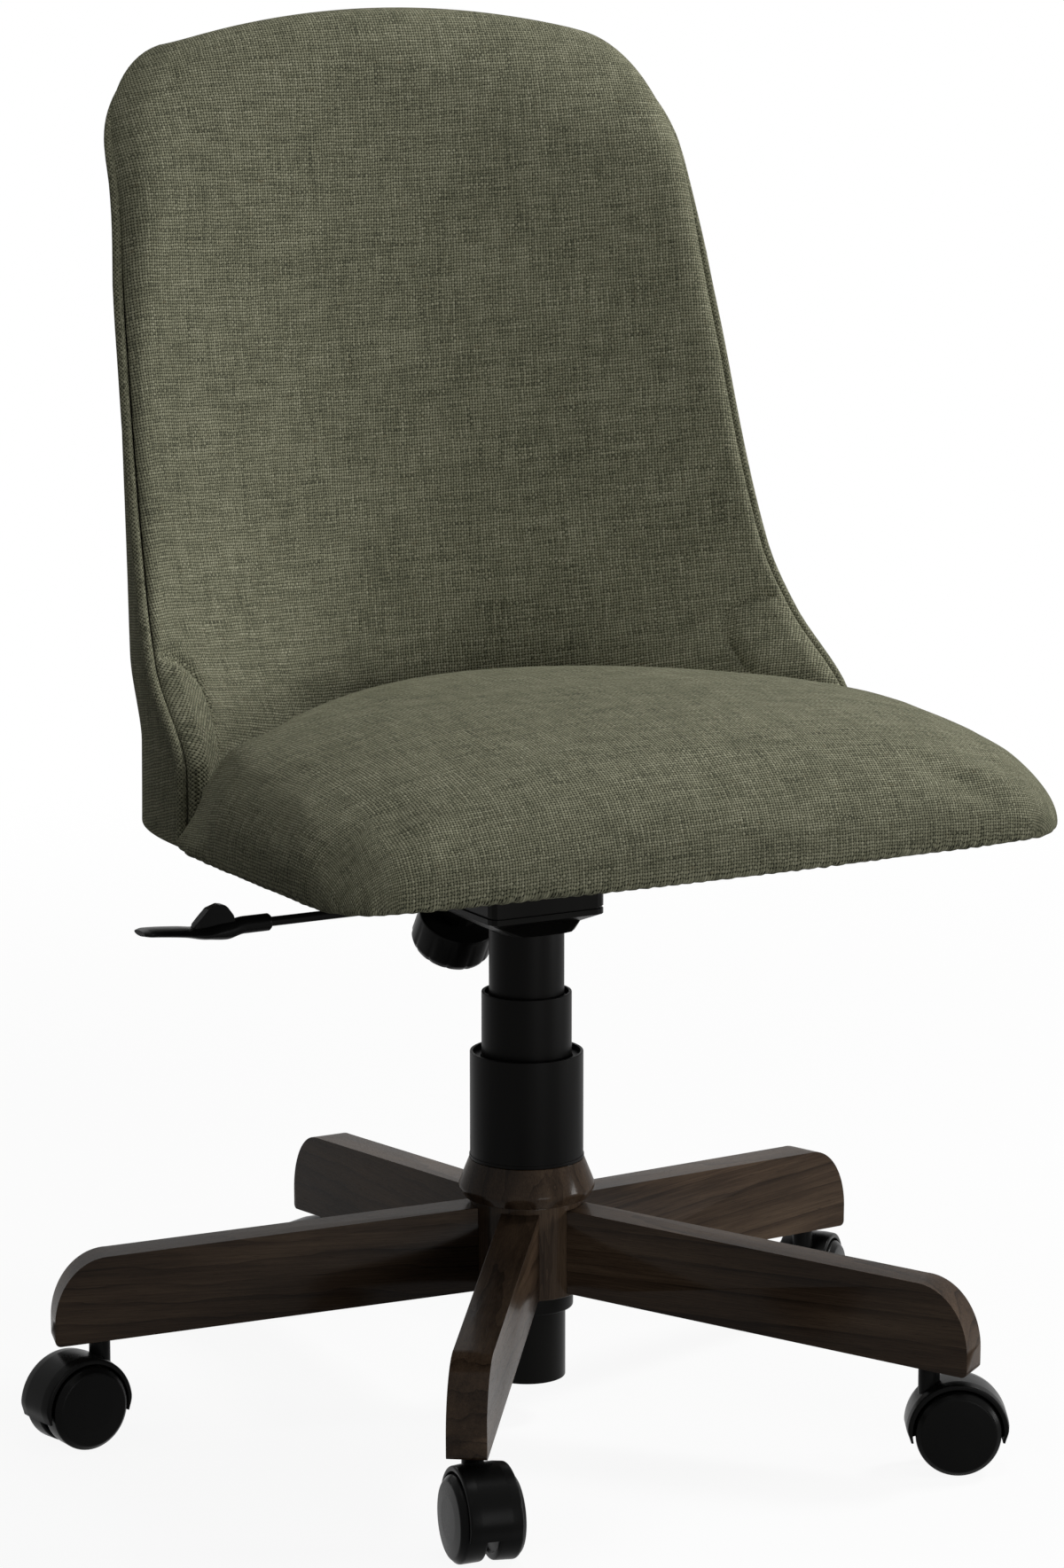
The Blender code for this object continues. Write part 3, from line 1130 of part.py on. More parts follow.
def stand_on_origin(root):
    """Move the chair so that the middle of its bounding box, seen from above, is at X = Y = 0."""
    bpy.context.view_layer.update()
    graph = bpy.context.evaluated_depsgraph_get()
    low = Vector((math.inf, math.inf, math.inf))
    high = -low
    for piece in bpy.context.scene.objects:
        if piece.type not in ("MESH", "CURVE"):
            continue
        evaluated = piece.evaluated_get(graph)
        mesh = evaluated.to_mesh()
        for vertex in mesh.vertices:
            place = evaluated.matrix_world @ vertex.co
            low = Vector(map(min, low, place))
            high = Vector(map(max, high, place))
        evaluated.to_mesh_clear()
    middle = (low + high) / 2
    root.location = (-middle.x, -middle.y, -low.z)
    print("column axis stands at", tuple(round(v, 6) for v in root.location))
    print("size", tuple(round(v, 4) for v in high - low))


def main():
    clear_scene()
    base = empty("base_axis", (0, 0, 0))
    spindle = empty("spindle_axis", (0, 0, 0), base)
    middle = empty("middle_sleeve_axis", (0, 0, 0), spindle)
    carriage = empty("carriage_axis", (0, 0, 0), spindle)
    tilt = empty("tilt_axis", (0, 0, 0), carriage)
    build_base(base)
    build_casters(base)
    build_column(base, spindle, carriage, middle)
    build_mechanism(carriage, tilt)
    build_lever(carriage)
    build_seat(tilt)
    stand_on_origin(base)


main()
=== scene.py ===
"""Desk chair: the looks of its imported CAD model, in metres, +Z up, front towards -Y."""
import sys

import logging
import math
from dataclasses import dataclass
from enum import Enum
from typing import Callable, Iterable, Sequence

import bmesh
import bpy
from mathutils import Matrix, Vector, noise


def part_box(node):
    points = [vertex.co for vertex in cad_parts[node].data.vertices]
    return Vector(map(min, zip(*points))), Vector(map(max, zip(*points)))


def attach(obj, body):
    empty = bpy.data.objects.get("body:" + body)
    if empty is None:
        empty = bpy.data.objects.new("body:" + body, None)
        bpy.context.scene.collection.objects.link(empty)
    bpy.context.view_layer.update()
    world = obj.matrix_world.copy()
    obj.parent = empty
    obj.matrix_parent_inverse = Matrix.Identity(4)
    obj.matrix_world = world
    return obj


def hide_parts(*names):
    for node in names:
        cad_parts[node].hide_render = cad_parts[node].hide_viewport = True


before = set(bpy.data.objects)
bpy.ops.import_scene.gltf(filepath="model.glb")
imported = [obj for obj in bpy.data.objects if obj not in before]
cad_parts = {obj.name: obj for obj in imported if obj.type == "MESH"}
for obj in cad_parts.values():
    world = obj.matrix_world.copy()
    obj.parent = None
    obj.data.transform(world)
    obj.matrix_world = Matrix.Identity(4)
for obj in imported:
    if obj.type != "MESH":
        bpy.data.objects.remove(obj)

log = logging.getLogger("desk_chair")

Point2 = tuple[float, float]
Outline = list[Point2]
Triple = tuple[float, float, float]
Colour = Triple
Stations = tuple[Point2, ...]

TURN = 2 * math.pi
SAME_POINT = 1e-5


class Slot(Enum):
    """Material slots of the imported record."""

    WALNUT = "walnut"
    STEEL = "steel"
    BLACK_METAL = "black_metal"
    BLACK_PLASTIC = "black_plastic"
    FABRIC = "olive_fabric"
    PLYWOOD = "plywood"
    DUST_CLOTH = "dust_cloth"


class Layer(Enum):
    """Faces inside the back's thickness, as shares from the front face to the rear one."""

    FRONT = 0.0
    PAD_REAR = 0.58
    PANEL_FRONT = 0.86
    REAR = 1.0


class Shade:
    """One output socket of a node tree. Arithmetic on it adds Math nodes."""

    def __init__(self, nodes: "Nodes", socket: bpy.types.NodeSocket) -> None:
        """Hold the socket and the tree that it belongs to."""
        self.nodes = nodes
        self.socket = socket

    def math(self, operation: str, *values: "Shade | float") -> "Shade":
        """Return a Math node's result for this operation and these values."""
        return self.nodes.node("ShaderNodeMath", {"operation": operation}, dict(enumerate(values)))

    def __add__(self, other: "Shade | float") -> "Shade":
        """Return self + other."""
        return self.math("ADD", self, other)

    def __radd__(self, other: float) -> "Shade":
        """Return other + self."""
        return self.math("ADD", other, self)

    def __sub__(self, other: "Shade | float") -> "Shade":
        """Return self - other."""
        return self.math("SUBTRACT", self, other)

    def __rsub__(self, other: float) -> "Shade":
        """Return other - self."""
        return self.math("SUBTRACT", other, self)

    def __mul__(self, other: "Shade | float") -> "Shade":
        """Return self * other."""
        return self.math("MULTIPLY", self, other)

    def __rmul__(self, other: float) -> "Shade":
        """Return other * self."""
        return self.math("MULTIPLY", other, self)

    def __truediv__(self, other: "Shade | float") -> "Shade":
        """Return self / other."""
        return self.math("DIVIDE", self, other)

    def __pow__(self, other: "Shade | float") -> "Shade":
        """Return self raised to other."""
        return self.math("POWER", self, other)

    def floor(self) -> "Shade":
        """Return the whole number below."""
        return self.math("FLOOR", self)

    def sine(self) -> "Shade":
        """Return the sine."""
        return self.math("SINE", self)

    def odd(self) -> "Shade":
        """Return 1 for odd whole numbers and 0 for even ones."""
        return self.math("FLOORED_MODULO", self, 2.0)

    def root(self) -> "Shade":
        """Return the square root."""
        return self.math("SQRT", self)

    def step_between(self, low: float, high: float) -> "Shade":
        """Return 0 below low, 1 above high, and a smooth step in between."""
        return self.nodes.node("ShaderNodeMapRange", {"interpolation_type": "SMOOTHSTEP"},
                               {"Value": self, "From Min": low, "From Max": high})

    def towards(self, other: "Shade | float", share: "Shade | float") -> "Shade":
        """Return self at share 0 and other at share 1."""
        return self.nodes.node("ShaderNodeMix", {"data_type": "FLOAT"},
                               {"Factor": share, "A": self, "B": other})


class Nodes:
    """A node tree, and the one way in which nodes are added to it."""

    def __init__(self, tree: bpy.types.NodeTree) -> None:
        """Start with an empty tree."""
        self.tree = tree
        self.tree.nodes.clear()

    def node(self, kind: str, settings: dict | None = None, sockets: dict | None = None,
             output: str | None = None) -> Shade:
        """Add a node.

        Args:
            kind: the node's type.
            settings: its own settings, or a ramp's stops, which are set first.
            sockets: values or links of its inputs, by name or number.
            output: name of the output that is wanted, or the first one in use.

        Returns:
            The output socket, as a Shade.
        """
        made = self.tree.nodes.new(kind)
        for key, value in (settings or {}).items():
            if key == "stops":
                self._set_stops(made.color_ramp, value)
            else:
                setattr(made, key, value)
        for key, value in (sockets or {}).items():
            target = made.inputs[key] if isinstance(key, int) else self._named(made.inputs, key)
            if isinstance(value, Shade):
                self.tree.links.new(value.socket, target)
            else:
                target.default_value = value
        usable = [s for s in made.outputs if s.enabled]
        chosen = self._named(made.outputs, output) if output else next(iter(usable), None)
        return Shade(self, chosen)

    @staticmethod
    def _named(sockets: Iterable[bpy.types.NodeSocket], name: str) -> bpy.types.NodeSocket:
        """Return the socket in use that has this name."""
        return next(s for s in sockets if s.enabled and s.name == name)

    @staticmethod
    def _set_stops(ramp: bpy.types.ColorRamp, stops: Sequence[tuple[float, Colour]]) -> None:
        """Put these positions and colours on a ramp.

        Args:
            ramp: the ramp.
            stops: (position, colour) pairs, lowest first.
        """
        for number, (place, colour) in enumerate(stops):
            stop = ramp.elements[number] if number < 2 else ramp.elements.new(place)
            stop.position = place
            stop.color = (*colour, 1.0)


class Paint(Nodes):
    """A material's node tree."""

    def __init__(self, name: str) -> None:
        """Make the material.

        Args:
            name: the material's name.
        """
        self.material = bpy.data.materials.new(name)
        self.material.use_nodes = True
        super().__init__(self.material.node_tree)

    def noise(self, place: Shade, scale: Triple, detail: float = 2.0, rough: float = 0.5) -> Shade:
        """Return smooth noise from 0 to 1.

        Args:
            place: coordinates in metres.
            scale: how many features to a metre, along each axis.
            detail: how many finer layers are added.
            rough: how strong these are.

        Returns:
            The noise.
        """
        scaled = self.node("ShaderNodeVectorMath", {"operation": "MULTIPLY"}, {0: place, 1: scale})
        return self.node("ShaderNodeTexNoise", {"noise_dimensions": "3D"},
                         {"Vector": scaled, "Scale": 1.0, "Detail": detail, "Roughness": rough})

    def parts(self, place: Shade) -> tuple[Shade, Shade, Shade]:
        """Return the three coordinates of a vector."""
        split = self.node("ShaderNodeSeparateXYZ", None, {0: place}, "X").socket.node
        return tuple(Shade(self, split.outputs[i]) for i in range(3))

    def joined(self, x: Shade | float, y: Shade | float, z: Shade | float = 0.0) -> Shade:
        """Return a vector with these coordinates."""
        return self.node("ShaderNodeCombineXYZ", None, {0: x, 1: y, 2: z})

    def ramp(self, share: Shade, stops: Sequence[tuple[float, Colour]]) -> Shade:
        """Return the colour at this share of a run of stops."""
        return self.node("ShaderNodeValToRGB", {"stops": stops}, {0: share})

    def blended(self, first: Shade | Colour, second: Shade | Colour, share: Shade | float,
                how: str = "MIX") -> Shade:
        """Return two colours mixed.

        Args:
            first: colour at share 0.
            second: colour at share 1.
            share: how much of the second shows.
            how: the Mix node's blend type.

        Returns:
            The mixed colour.
        """
        colours = [c if isinstance(c, Shade) else (*c, 1.0) for c in (first, second)]
        return self.node("ShaderNodeMix", {"data_type": "RGBA", "blend_type": how},
                         {"Factor": share, "A": colours[0], "B": colours[1]})

    def bump(self, height: Shade, depth: float, strength: float = 1.0) -> Shade:
        """Return a normal for this height map, whose full range is depth metres."""
        return self.node("ShaderNodeBump", None,
                         {"Height": height, "Distance": depth, "Strength": strength})

    def finish(self, colour: Shade, rough: Shade | float, normal: Shade | None = None,
               **constants: float | tuple) -> bpy.types.Material:
        """Close the material with a Principled shader.

        Args:
            colour: base colour.
            rough: roughness.
            normal: normal from a bump, if any.
            constants: other sockets, named with _ for each space.

        Returns:
            The material.
        """
        sockets = {"Base Color": colour, "Roughness": rough}
        if normal:
            sockets["Normal"] = normal
        sockets.update({key.replace("_", " "): value for key, value in constants.items()})
        shader = self.node("ShaderNodeBsdfPrincipled", None, sockets)
        self.node("ShaderNodeOutputMaterial", None, {"Surface": shader})
        return self.material


@dataclass(frozen=True)
class HeatherWeave:
    """Plain-woven upholstery cloth of mixed yarns. It reads the UV map "weave", in metres."""

    name: str = "olive_weave"
    pitch: float = 0.0019
    dark: Colour = (0.085, 0.088, 0.059)
    middle: Colour = (0.255, 0.254, 0.170)
    light: Colour = (0.440, 0.434, 0.309)
    brown: Colour = (0.190, 0.150, 0.085)
    slub: float = 0.075
    apart: float = 2.37
    weft_far: float = 9.3
    wander: float = 1.1
    dip: float = 0.45
    shares: Triple = (0.52, 0.38, 0.10)
    brown_share: float = 0.40
    # Painted shade: how much darker the holes between threads and the threads that dip under are drawn.
    hole_shade: float = 0.90
    dip_shade: float = 0.46
    relief: float = 0.00055

    def material(self) -> bpy.types.Material:
        """Make the cloth: threads over and under each other, slubs along them and holes between, with painted
        shade in the holes and where threads dip under.

        Returns:
            The material.
        """
        paint = Paint(self.name)
        place = paint.node("ShaderNodeUVMap", {"uv_map": "weave"}, None)
        drift = paint.noise(place, (70.0, 70.0, 1.0), 2.0)
        drift_up = paint.noise(place, (55.0, 62.0, 7.0), 2.0)
        u, v, _ = paint.parts(place)
        across = (u + (drift - 0.5) * (self.pitch * self.wander)) / self.pitch
        along = (v + (drift_up - 0.5) * (self.pitch * self.wander)) / self.pitch
        column, row = across.floor(), along.floor()
        rib = ((across - column) * math.pi).sine()
        bar = ((along - row) * math.pi).sine()
        over = (column + row).odd()
        warp_height = rib * (bar * self.dip + (1 - self.dip))
        weft_height = bar * (rib * self.dip + (1 - self.dip))
        height = warp_height.towards(weft_height, over)
        warp_place = paint.joined(column * self.apart, along * self.slub, 0.0)
        weft_place = paint.joined(across * self.slub, row * self.apart, self.weft_far)
        warp_yarn = paint.noise(warp_place, (1, 1, 1), 3.0, 0.62)
        weft_yarn = paint.noise(weft_place, (1, 1, 1), 3.0, 0.62)
        yarn = warp_yarn.towards(weft_yarn, over)
        fleck = paint.noise(place, (900.0, 900.0, 1.0), 2.0, 0.6)
        cloud = paint.noise(place, (16.0, 16.0, 3.0), 3.0)
        tone = yarn * self.shares[0] + fleck * self.shares[1] + cloud * self.shares[2]
        colour = paint.ramp(tone, ((0.36, self.dark), (0.50, self.middle), (0.66, self.light)))
        tint = paint.noise(place, (120.0, 240.0, 5.0), 3.0, 0.6).step_between(0.60, 0.76)
        colour = paint.blended(colour, self.brown, tint * self.brown_share)
        # Painted shade: the holes between threads and the dips where a thread goes under are darkened in the
        # colour, standing in for the shade that falls there.
        hole = ((1.0 - rib) * (1.0 - bar)).step_between(0.16, 0.62)
        depth = 1.0 - hole * self.hole_shade - (1.0 - height) * self.dip_shade
        shadow = paint.joined(depth, depth, depth)
        colour = paint.blended(colour, shadow, 1.0, "MULTIPLY")
        fibre = paint.noise(place, (2600.0, 2600.0, 1.0), 1.0)
        normal = paint.bump(height * 0.85 + fibre * 0.25, self.relief, 0.75)
        return paint.finish(colour, 0.93 - height * 0.08, normal, Sheen_Weight=0.05,
                            Sheen_Roughness=0.55, Sheen_Tint=(0.80, 0.80, 0.66, 1.0),
                            Specular_IOR_Level=0.04)


@dataclass(frozen=True)
class Walnut:
    """Dark stained walnut with a satin lacquer. It reads the attribute "grain", in metres."""

    name: str = "stained_walnut"
    dark: Colour = (0.019, 0.0120, 0.0078)
    middle: Colour = (0.058, 0.0375, 0.0240)
    light: Colour = (0.118, 0.081, 0.052)
    ring: float = 0.0125
    pith: Triple = (0.0, 0.016, -0.052)
    ring_power: float = 5.0
    shares: Triple = (0.26, 0.30, 0.60)
    late_dark: float = 0.26
    tone_drop: float = 0.07

    def material(self) -> bpy.types.Material:
        """Make the wood: uneven growth rings about a line beside the piece, fibres and pores along it.

        Returns:
            The material.
        """
        paint = Paint(self.name)
        place = paint.node("ShaderNodeAttribute", {"attribute_name": "grain"}, None, "Vector")
        sway = paint.noise(place, (7.0, 38.0, 38.0), 3.0, 0.55)
        _, across, up = paint.parts(place)
        side = across - self.pith[1] + (sway - 0.5) * 0.034
        rise = up - self.pith[2] + (sway - 0.5) * 0.030
        rings = (side * side + rise * rise).root() / self.ring
        late = (rings - rings.floor()) ** self.ring_power
        fade = paint.noise(place, (12.0, 70.0, 70.0), 2.0)
        fibre = paint.noise(place, (34.0, 1500.0, 1500.0), 3.0, 0.65)
        streak = paint.noise(place, (8.0, 330.0, 330.0), 4.0, 0.62)
        pore = paint.noise(place, (110.0, 2400.0, 2400.0), 1.0).step_between(0.60, 0.72)
        cloud = paint.noise(place, (6.0, 30.0, 30.0), 3.0)
        tone = streak * self.shares[0] + fibre * self.shares[1] + cloud * self.shares[2]
        tone = tone - late * fade * self.late_dark - self.tone_drop
        colour = paint.ramp(tone, ((0.34, self.dark), (0.52, self.middle), (0.74, self.light)))
        colour = paint.blended(colour, self.dark, pore * 0.50)
        rough = 0.26 + streak * 0.12 + pore * 0.15
        normal = paint.bump(fibre * 0.5 - pore * 0.8, 0.00010, 0.5)
        return paint.finish(colour, rough, normal, Coat_Weight=0.12, Coat_Roughness=0.13,
                            Specular_IOR_Level=0.01)


@dataclass(frozen=True)
class Satin:
    """A plain dark or bright finish with a fine even texture, and rubbed streaks if it has them."""

    name: str
    colour: Colour
    rough: float
    metallic: float = 0.0
    fine: float = 1500.0
    depth: float = 0.00006
    streaks: Triple = (40.0, 40.0, 6.0)
    variety: float = 0.10
    shine: float = 0.045

    def material(self) -> bpy.types.Material:
        """Make the finish, on Object coordinates.

        Returns:
            The material.
        """
        paint = Paint(self.name)
        place = paint.node("ShaderNodeTexCoord", None, None, "Object")
        texture = paint.noise(place, (self.fine,) * 3, 3.0, 0.6)
        streak = paint.noise(place, self.streaks, 3.0)
        share = streak * 0.7 + texture * 0.3
        dim = tuple(c * (1 - 2 * self.variety) for c in self.colour)
        bright = tuple(min(1.0, c * (1 + 2 * self.variety)) for c in self.colour)
        colour = paint.ramp(share, ((0.30, dim), (0.70, bright)))
        rough = self.rough + (streak - 0.5) * (2 * self.variety) + (texture - 0.5) * self.variety
        return paint.finish(colour, rough, paint.bump(texture, self.depth, 0.5),
                            Metallic=self.metallic, Specular_IOR_Level=self.shine)


@dataclass(frozen=True)
class Plies:
    """Birch plywood: thin layers one above the other, seen at the edge."""

    name: str = "birch_plies"
    layer: float = 0.0015

    def material(self) -> bpy.types.Material:
        """Make the plywood, on Object coordinates.

        Returns:
            The material.
        """
        paint = Paint(self.name)
        place = paint.node("ShaderNodeTexCoord", None, None, "Object")
        height = paint.parts(place)[2]
        band = (height / self.layer).floor().odd()
        fibre = paint.noise(place, (30.0, 500.0, 500.0), 3.0)
        colour = paint.ramp(band * 0.4 + fibre * 0.6, ((0.2, (0.20, 0.13, 0.07)), (0.8, (0.50, 0.37, 0.22))))
        return paint.finish(colour, 0.6 + fibre * 0.2, paint.bump(fibre, 0.0001, 0.5))


@dataclass(frozen=True)
class Fleece:
    """Black spun cloth that covers the underside."""

    name: str = "spun_cloth"

    def material(self) -> bpy.types.Material:
        """Make the cloth, on Object coordinates.

        Returns:
            The material.
        """
        paint = Paint(self.name)
        place = paint.node("ShaderNodeTexCoord", None, None, "Object")
        mat = paint.noise(place, (600.0, 600.0, 600.0), 4.0, 0.7)
        dimple = paint.node("ShaderNodeTexVoronoi", {"feature": "F1"}, {"Vector": place, "Scale": 450.0},
                            "Distance")
        colour = paint.ramp(mat, ((0.3, (0.006, 0.006, 0.006)), (0.7, (0.022, 0.022, 0.022))))
        return paint.finish(colour, 0.85 + mat * 0.1, paint.bump(dimple, 0.0003, 0.5))


class Finishes:
    """The chair's finishes, made once each."""

    def __init__(self) -> None:
        """Make every material."""
        self.cloth = HeatherWeave().material()
        self.wood = Walnut().material()
        self.plastic = Satin("moulded_black", (0.0052, 0.0052, 0.0050), 0.30).material()
        self.coated = Satin("coated_steel", (0.0070, 0.0068, 0.0062), 0.34, 0.0, 2200.0).material()
        self.sleeve = Satin("sleeve_black", (0.0050, 0.0048, 0.0045), 0.42, 0.0, 2600.0, 0.00003,
                            (90.0, 90.0, 3.0)).material()
        self.steel = Satin("bright_steel", (0.50, 0.50, 0.50), 0.30, 1.0, 3000.0, 0.00003,
                           (300.0, 300.0, 20.0), shine=0.5).material()
        self.plies = Plies().material()
        self.fleece = Fleece().material()


def smooth_step(value: float, low: float, high: float) -> float:
    """Return 0 below low, 1 above high, and a smooth step in between."""
    share = min(max((value - low) / (high - low), 0.0), 1.0)
    return share * share * (3 - 2 * share)


def between(height: float, stations: Stations) -> float:
    """Read a smooth curve through stations, without overshoot.

    Args:
        height: where to read it.
        stations: (height, value) pairs, lowest first.

    Returns:
        The value at that height.
    """
    heights = [station[0] for station in stations]
    values = [station[1] for station in stations]
    if height <= heights[0]:
        return values[0]
    if height >= heights[-1]:
        return values[-1]
    slopes = [(v1 - v0) / (h1 - h0) for h0, h1, v0, v1 in zip(heights, heights[1:], values, values[1:])]
    tangents = [slopes[0]]
    for before, after in zip(slopes, slopes[1:]):
        tangents.append(2 * before * after / (before + after) if before * after > 0 else 0.0)
    tangents.append(slopes[-1])
    k = max(i for i in range(len(slopes)) if heights[i] <= height)
    span = heights[k + 1] - heights[k]
    t = (height - heights[k]) / span
    start = values[k] * (1 + 2 * t) * (1 - t) ** 2 + tangents[k] * span * t * (1 - t) ** 2
    end = values[k + 1] * t * t * (3 - 2 * t) + tangents[k + 1] * span * t * t * (t - 1)
    return start + end


def spread(points: Outline, count: int, skip: float = 0.0, dense: float = 0.0) -> Outline:
    """Space points along a line, leaving out a first stretch.

    Args:
        points: the line's points.
        count: how many points are wanted.
        skip: length left out at the start.
        dense: from 0 for even spacing to 1 for closest spacing at the start.

    Returns:
        The new points.
    """
    lengths = [0.0]
    for (x0, y0), (x1, y1) in zip(points, points[1:]):
        lengths.append(lengths[-1] + math.hypot(x1 - x0, y1 - y0))
    made = []
    k = 0
    for i in range(count):
        share = i / (count - 1)
        target = skip + (lengths[-1] - skip) * share * (1 - dense + dense * share)
        while k < len(points) - 2 and lengths[k + 1] < target:
            k += 1
        t = (target - lengths[k]) / (lengths[k + 1] - lengths[k])
        made.append((points[k][0] * (1 - t) + points[k + 1][0] * t,
                     points[k][1] * (1 - t) + points[k + 1][1] * t))
    return made


def fillet(corners: Sequence[Triple], steps: int = 5) -> Outline:
    """Round each corner of a closed outline.

    Args:
        corners: (x, y, radius) of each corner.
        steps: faces round each corner.

    Returns:
        The rounded outline.
    """
    points: Outline = []
    for i, (x, y, radius) in enumerate(corners):
        here = Vector((x, y))
        before = Vector(corners[i - 1][:2]) - here
        after = Vector(corners[(i + 1) % len(corners)][:2]) - here
        if radius <= 0.0:
            points.append((x, y))
            continue
        reach = radius / math.tan(before.angle(after) / 2)
        reach = min(reach, 0.48 * before.length, 0.48 * after.length)
        start = here + before.normalized() * reach
        end = here + after.normalized() * reach
        for step in range(steps + 1):
            t = step / steps
            point = start * (1 - t) ** 2 + here * (2 * t * (1 - t)) + end * (t * t)
            points.append((point.x, point.y))
    return points


def loft(rings: Sequence[Sequence[Sequence[float]]], cap: bool = True) -> bmesh.types.BMesh:
    """Skin closed rings of points that all have the same count.

    Args:
        rings: the rings, in order.
        cap: whether the two ends are closed.

    Returns:
        The skinned shape.
    """
    bm = bmesh.new()
    rows = [[bm.verts.new(point) for point in ring] for ring in rings]
    for low, high in zip(rows, rows[1:]):
        for i in range(len(low)):
            j = (i + 1) % len(low)
            bm.faces.new((low[i], low[j], high[j], high[i]))
    if cap:
        bm.faces.new(rows[0])
        bm.faces.new(rows[-1])
    return bm


def turned(profile: Outline, sides: int = 72) -> bmesh.types.BMesh:
    """Spin a closed outline about Z. Points on the axis become poles.

    Args:
        profile: (radius, height) points.
        sides: faces round the shape.

    Returns:
        The turned shape.
    """
    bm = bmesh.new()
    rings = []
    for radius, height in profile:
        if radius < 1e-7:
            rings.append([bm.verts.new((0.0, 0.0, height))])
            continue
        rings.append([bm.verts.new((radius * math.cos(TURN * i / sides),
                                    radius * math.sin(TURN * i / sides), height)) for i in range(sides)])
    for low, high in zip(rings, rings[1:] + rings[:1]):
        if len(low) == 1 and len(high) == 1:
            continue
        for i in range(sides):
            j = (i + 1) % sides
            corners = [low[i % len(low)], low[j % len(low)], high[j % len(high)], high[i % len(high)]]
            bm.faces.new(list(dict.fromkeys(corners)))
    return bm


def plug(radius: float, low: float, high: float, sides: int) -> bmesh.types.BMesh:
    """Return a plain cylinder about Z, for cutting a hole."""
    return turned([(0.0, low), (radius, low), (radius, high), (0.0, high)], sides)


def moved(bm: bmesh.types.BMesh, matrix: Matrix) -> bmesh.types.BMesh:
    """Transform a shape and return it."""
    bmesh.ops.transform(bm, matrix=matrix, verts=bm.verts)
    return bm


def rotation(axis: str, degrees: float) -> Matrix:
    """Return a turn about a main axis."""
    return Matrix.Rotation(math.radians(degrees), 4, axis)


def mended(bm: bmesh.types.BMesh) -> bmesh.types.BMesh:
    """Merge doubled points and drop empty faces.

    Args:
        bm: the shape.

    Returns:
        The same shape.
    """
    bmesh.ops.remove_doubles(bm, verts=bm.verts, dist=SAME_POINT)
    bmesh.ops.dissolve_degenerate(bm, edges=bm.edges, dist=SAME_POINT)
    return bm


def mesh_of(name: str, bm: bmesh.types.BMesh) -> bpy.types.Mesh:
    """Turn a shape into a mesh whose faces point outwards.

    Args:
        name: the mesh's name.
        bm: the shape, which is used up.

    Returns:
        The mesh.
    """
    bmesh.ops.recalc_face_normals(bm, faces=bm.faces)
    mesh = bpy.data.meshes.new(name)
    bm.to_mesh(mesh)
    bm.free()
    return mesh


def placed(name: str, data: bpy.types.ID) -> bpy.types.Object:
    """Put an object in the scene.

    Args:
        name: the object's name.
        data: its mesh, lamp or camera.

    Returns:
        The object.
    """
    made = bpy.data.objects.new(name, data)
    bpy.context.scene.collection.objects.link(made)
    return made


def combined(name: str, base: bmesh.types.BMesh,
             steps: Sequence[tuple[str, bmesh.types.BMesh]]) -> bpy.types.Mesh:
    """Join and cut shapes with Boolean steps.

    Args:
        name: the mesh's name.
        base: the first shape.
        steps: (operation, shape) pairs.

    Returns:
        The finished mesh.
    """
    body = placed(name + "_blank", mesh_of(name + "_blank", mended(base)))
    helpers = []
    for number, (operation, bm) in enumerate(steps):
        tool = placed(f"{name}_tool_{number}", mesh_of(f"{name}_tool_{number}", mended(bm)))
        change = body.modifiers.new(f"step_{number}", "BOOLEAN")
        change.operation = operation
        change.object = tool
        helpers.append(tool)
    cut = evaluated_mesh(body, name + "_cut")
    cut.validate()
    for used in [body] + helpers:
        bpy.data.objects.remove(used)
    whole = bmesh.new()
    whole.from_mesh(cut)
    bpy.data.meshes.remove(cut)
    return mesh_of(name, mended(whole))


def evaluated_mesh(obj: bpy.types.Object, name: str) -> bpy.types.Mesh:
    """Freeze an object's modifiers into a plain mesh.

    Args:
        obj: the object, which stays as it is.
        name: the mesh's name.

    Returns:
        The mesh.
    """
    bpy.context.view_layer.update()
    graph = bpy.context.evaluated_depsgraph_get()
    mesh = bpy.data.meshes.new_from_object(obj.evaluated_get(graph))
    mesh.name = name
    return mesh


def show(name: str, mesh: bpy.types.Mesh, finish: bpy.types.Material, body: str, slot: Slot,
         replaces: Sequence[str] = (), smooth: float = 40.0) -> bpy.types.Object:
    """Put a finished mesh in the scene as a piece of the chair.

    Args:
        name: the piece's name.
        mesh: its mesh, in the frame's coordinates.
        finish: its material.
        body: the CAD body that it rides on.
        slot: the record's material slot. Not used.
        replaces: CAD nodes that it stands for.
        smooth: degrees above which an edge is shown sharp.

    Returns:
        The piece.
    """
    whole = bmesh.new()
    whole.from_mesh(mesh)
    mended(whole).to_mesh(mesh)
    whole.free()
    mesh.materials.clear()
    mesh.materials.append(finish)
    mesh.shade_smooth()
    mesh.set_sharp_from_angle(angle=math.radians(smooth))
    piece = placed(name, mesh)
    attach(piece, body)
    if replaces:
        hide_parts(*replaces)
    log.info("%s: %d faces on %s", name, len(mesh.polygons), body)
    return piece


def set_grain(mesh: bpy.types.Mesh, order: tuple[int, int, int], shift: Vector) -> None:
    """Store grain coordinates on a wooden mesh before it is put in place.

    Args:
        mesh: the mesh, in its own coordinates.
        order: which of x, y and z runs along, across and up the grain.
        shift: offset of the piece in its board.
    """
    grain = mesh.attributes.new("grain", "FLOAT_VECTOR", "POINT")
    values = []
    for vertex in mesh.vertices:
        values.extend(vertex.co[axis] + shift[i] for i, axis in enumerate(order))
    grain.data.foreach_set("vector", values)


def set_weave(mesh: bpy.types.Mesh, cloth_at: Callable[[int, int], Point2]) -> None:
    """Lay the cloth on a mesh.

    Args:
        mesh: the mesh.
        cloth_at: gives the place on the flat cloth for a face and a vertex, in metres.
    """
    layer = mesh.uv_layers.new(name="weave")
    for face in mesh.polygons:
        for loop in face.loop_indices:
            layer.data[loop].uv = cloth_at(face.index, mesh.loops[loop].vertex_index)


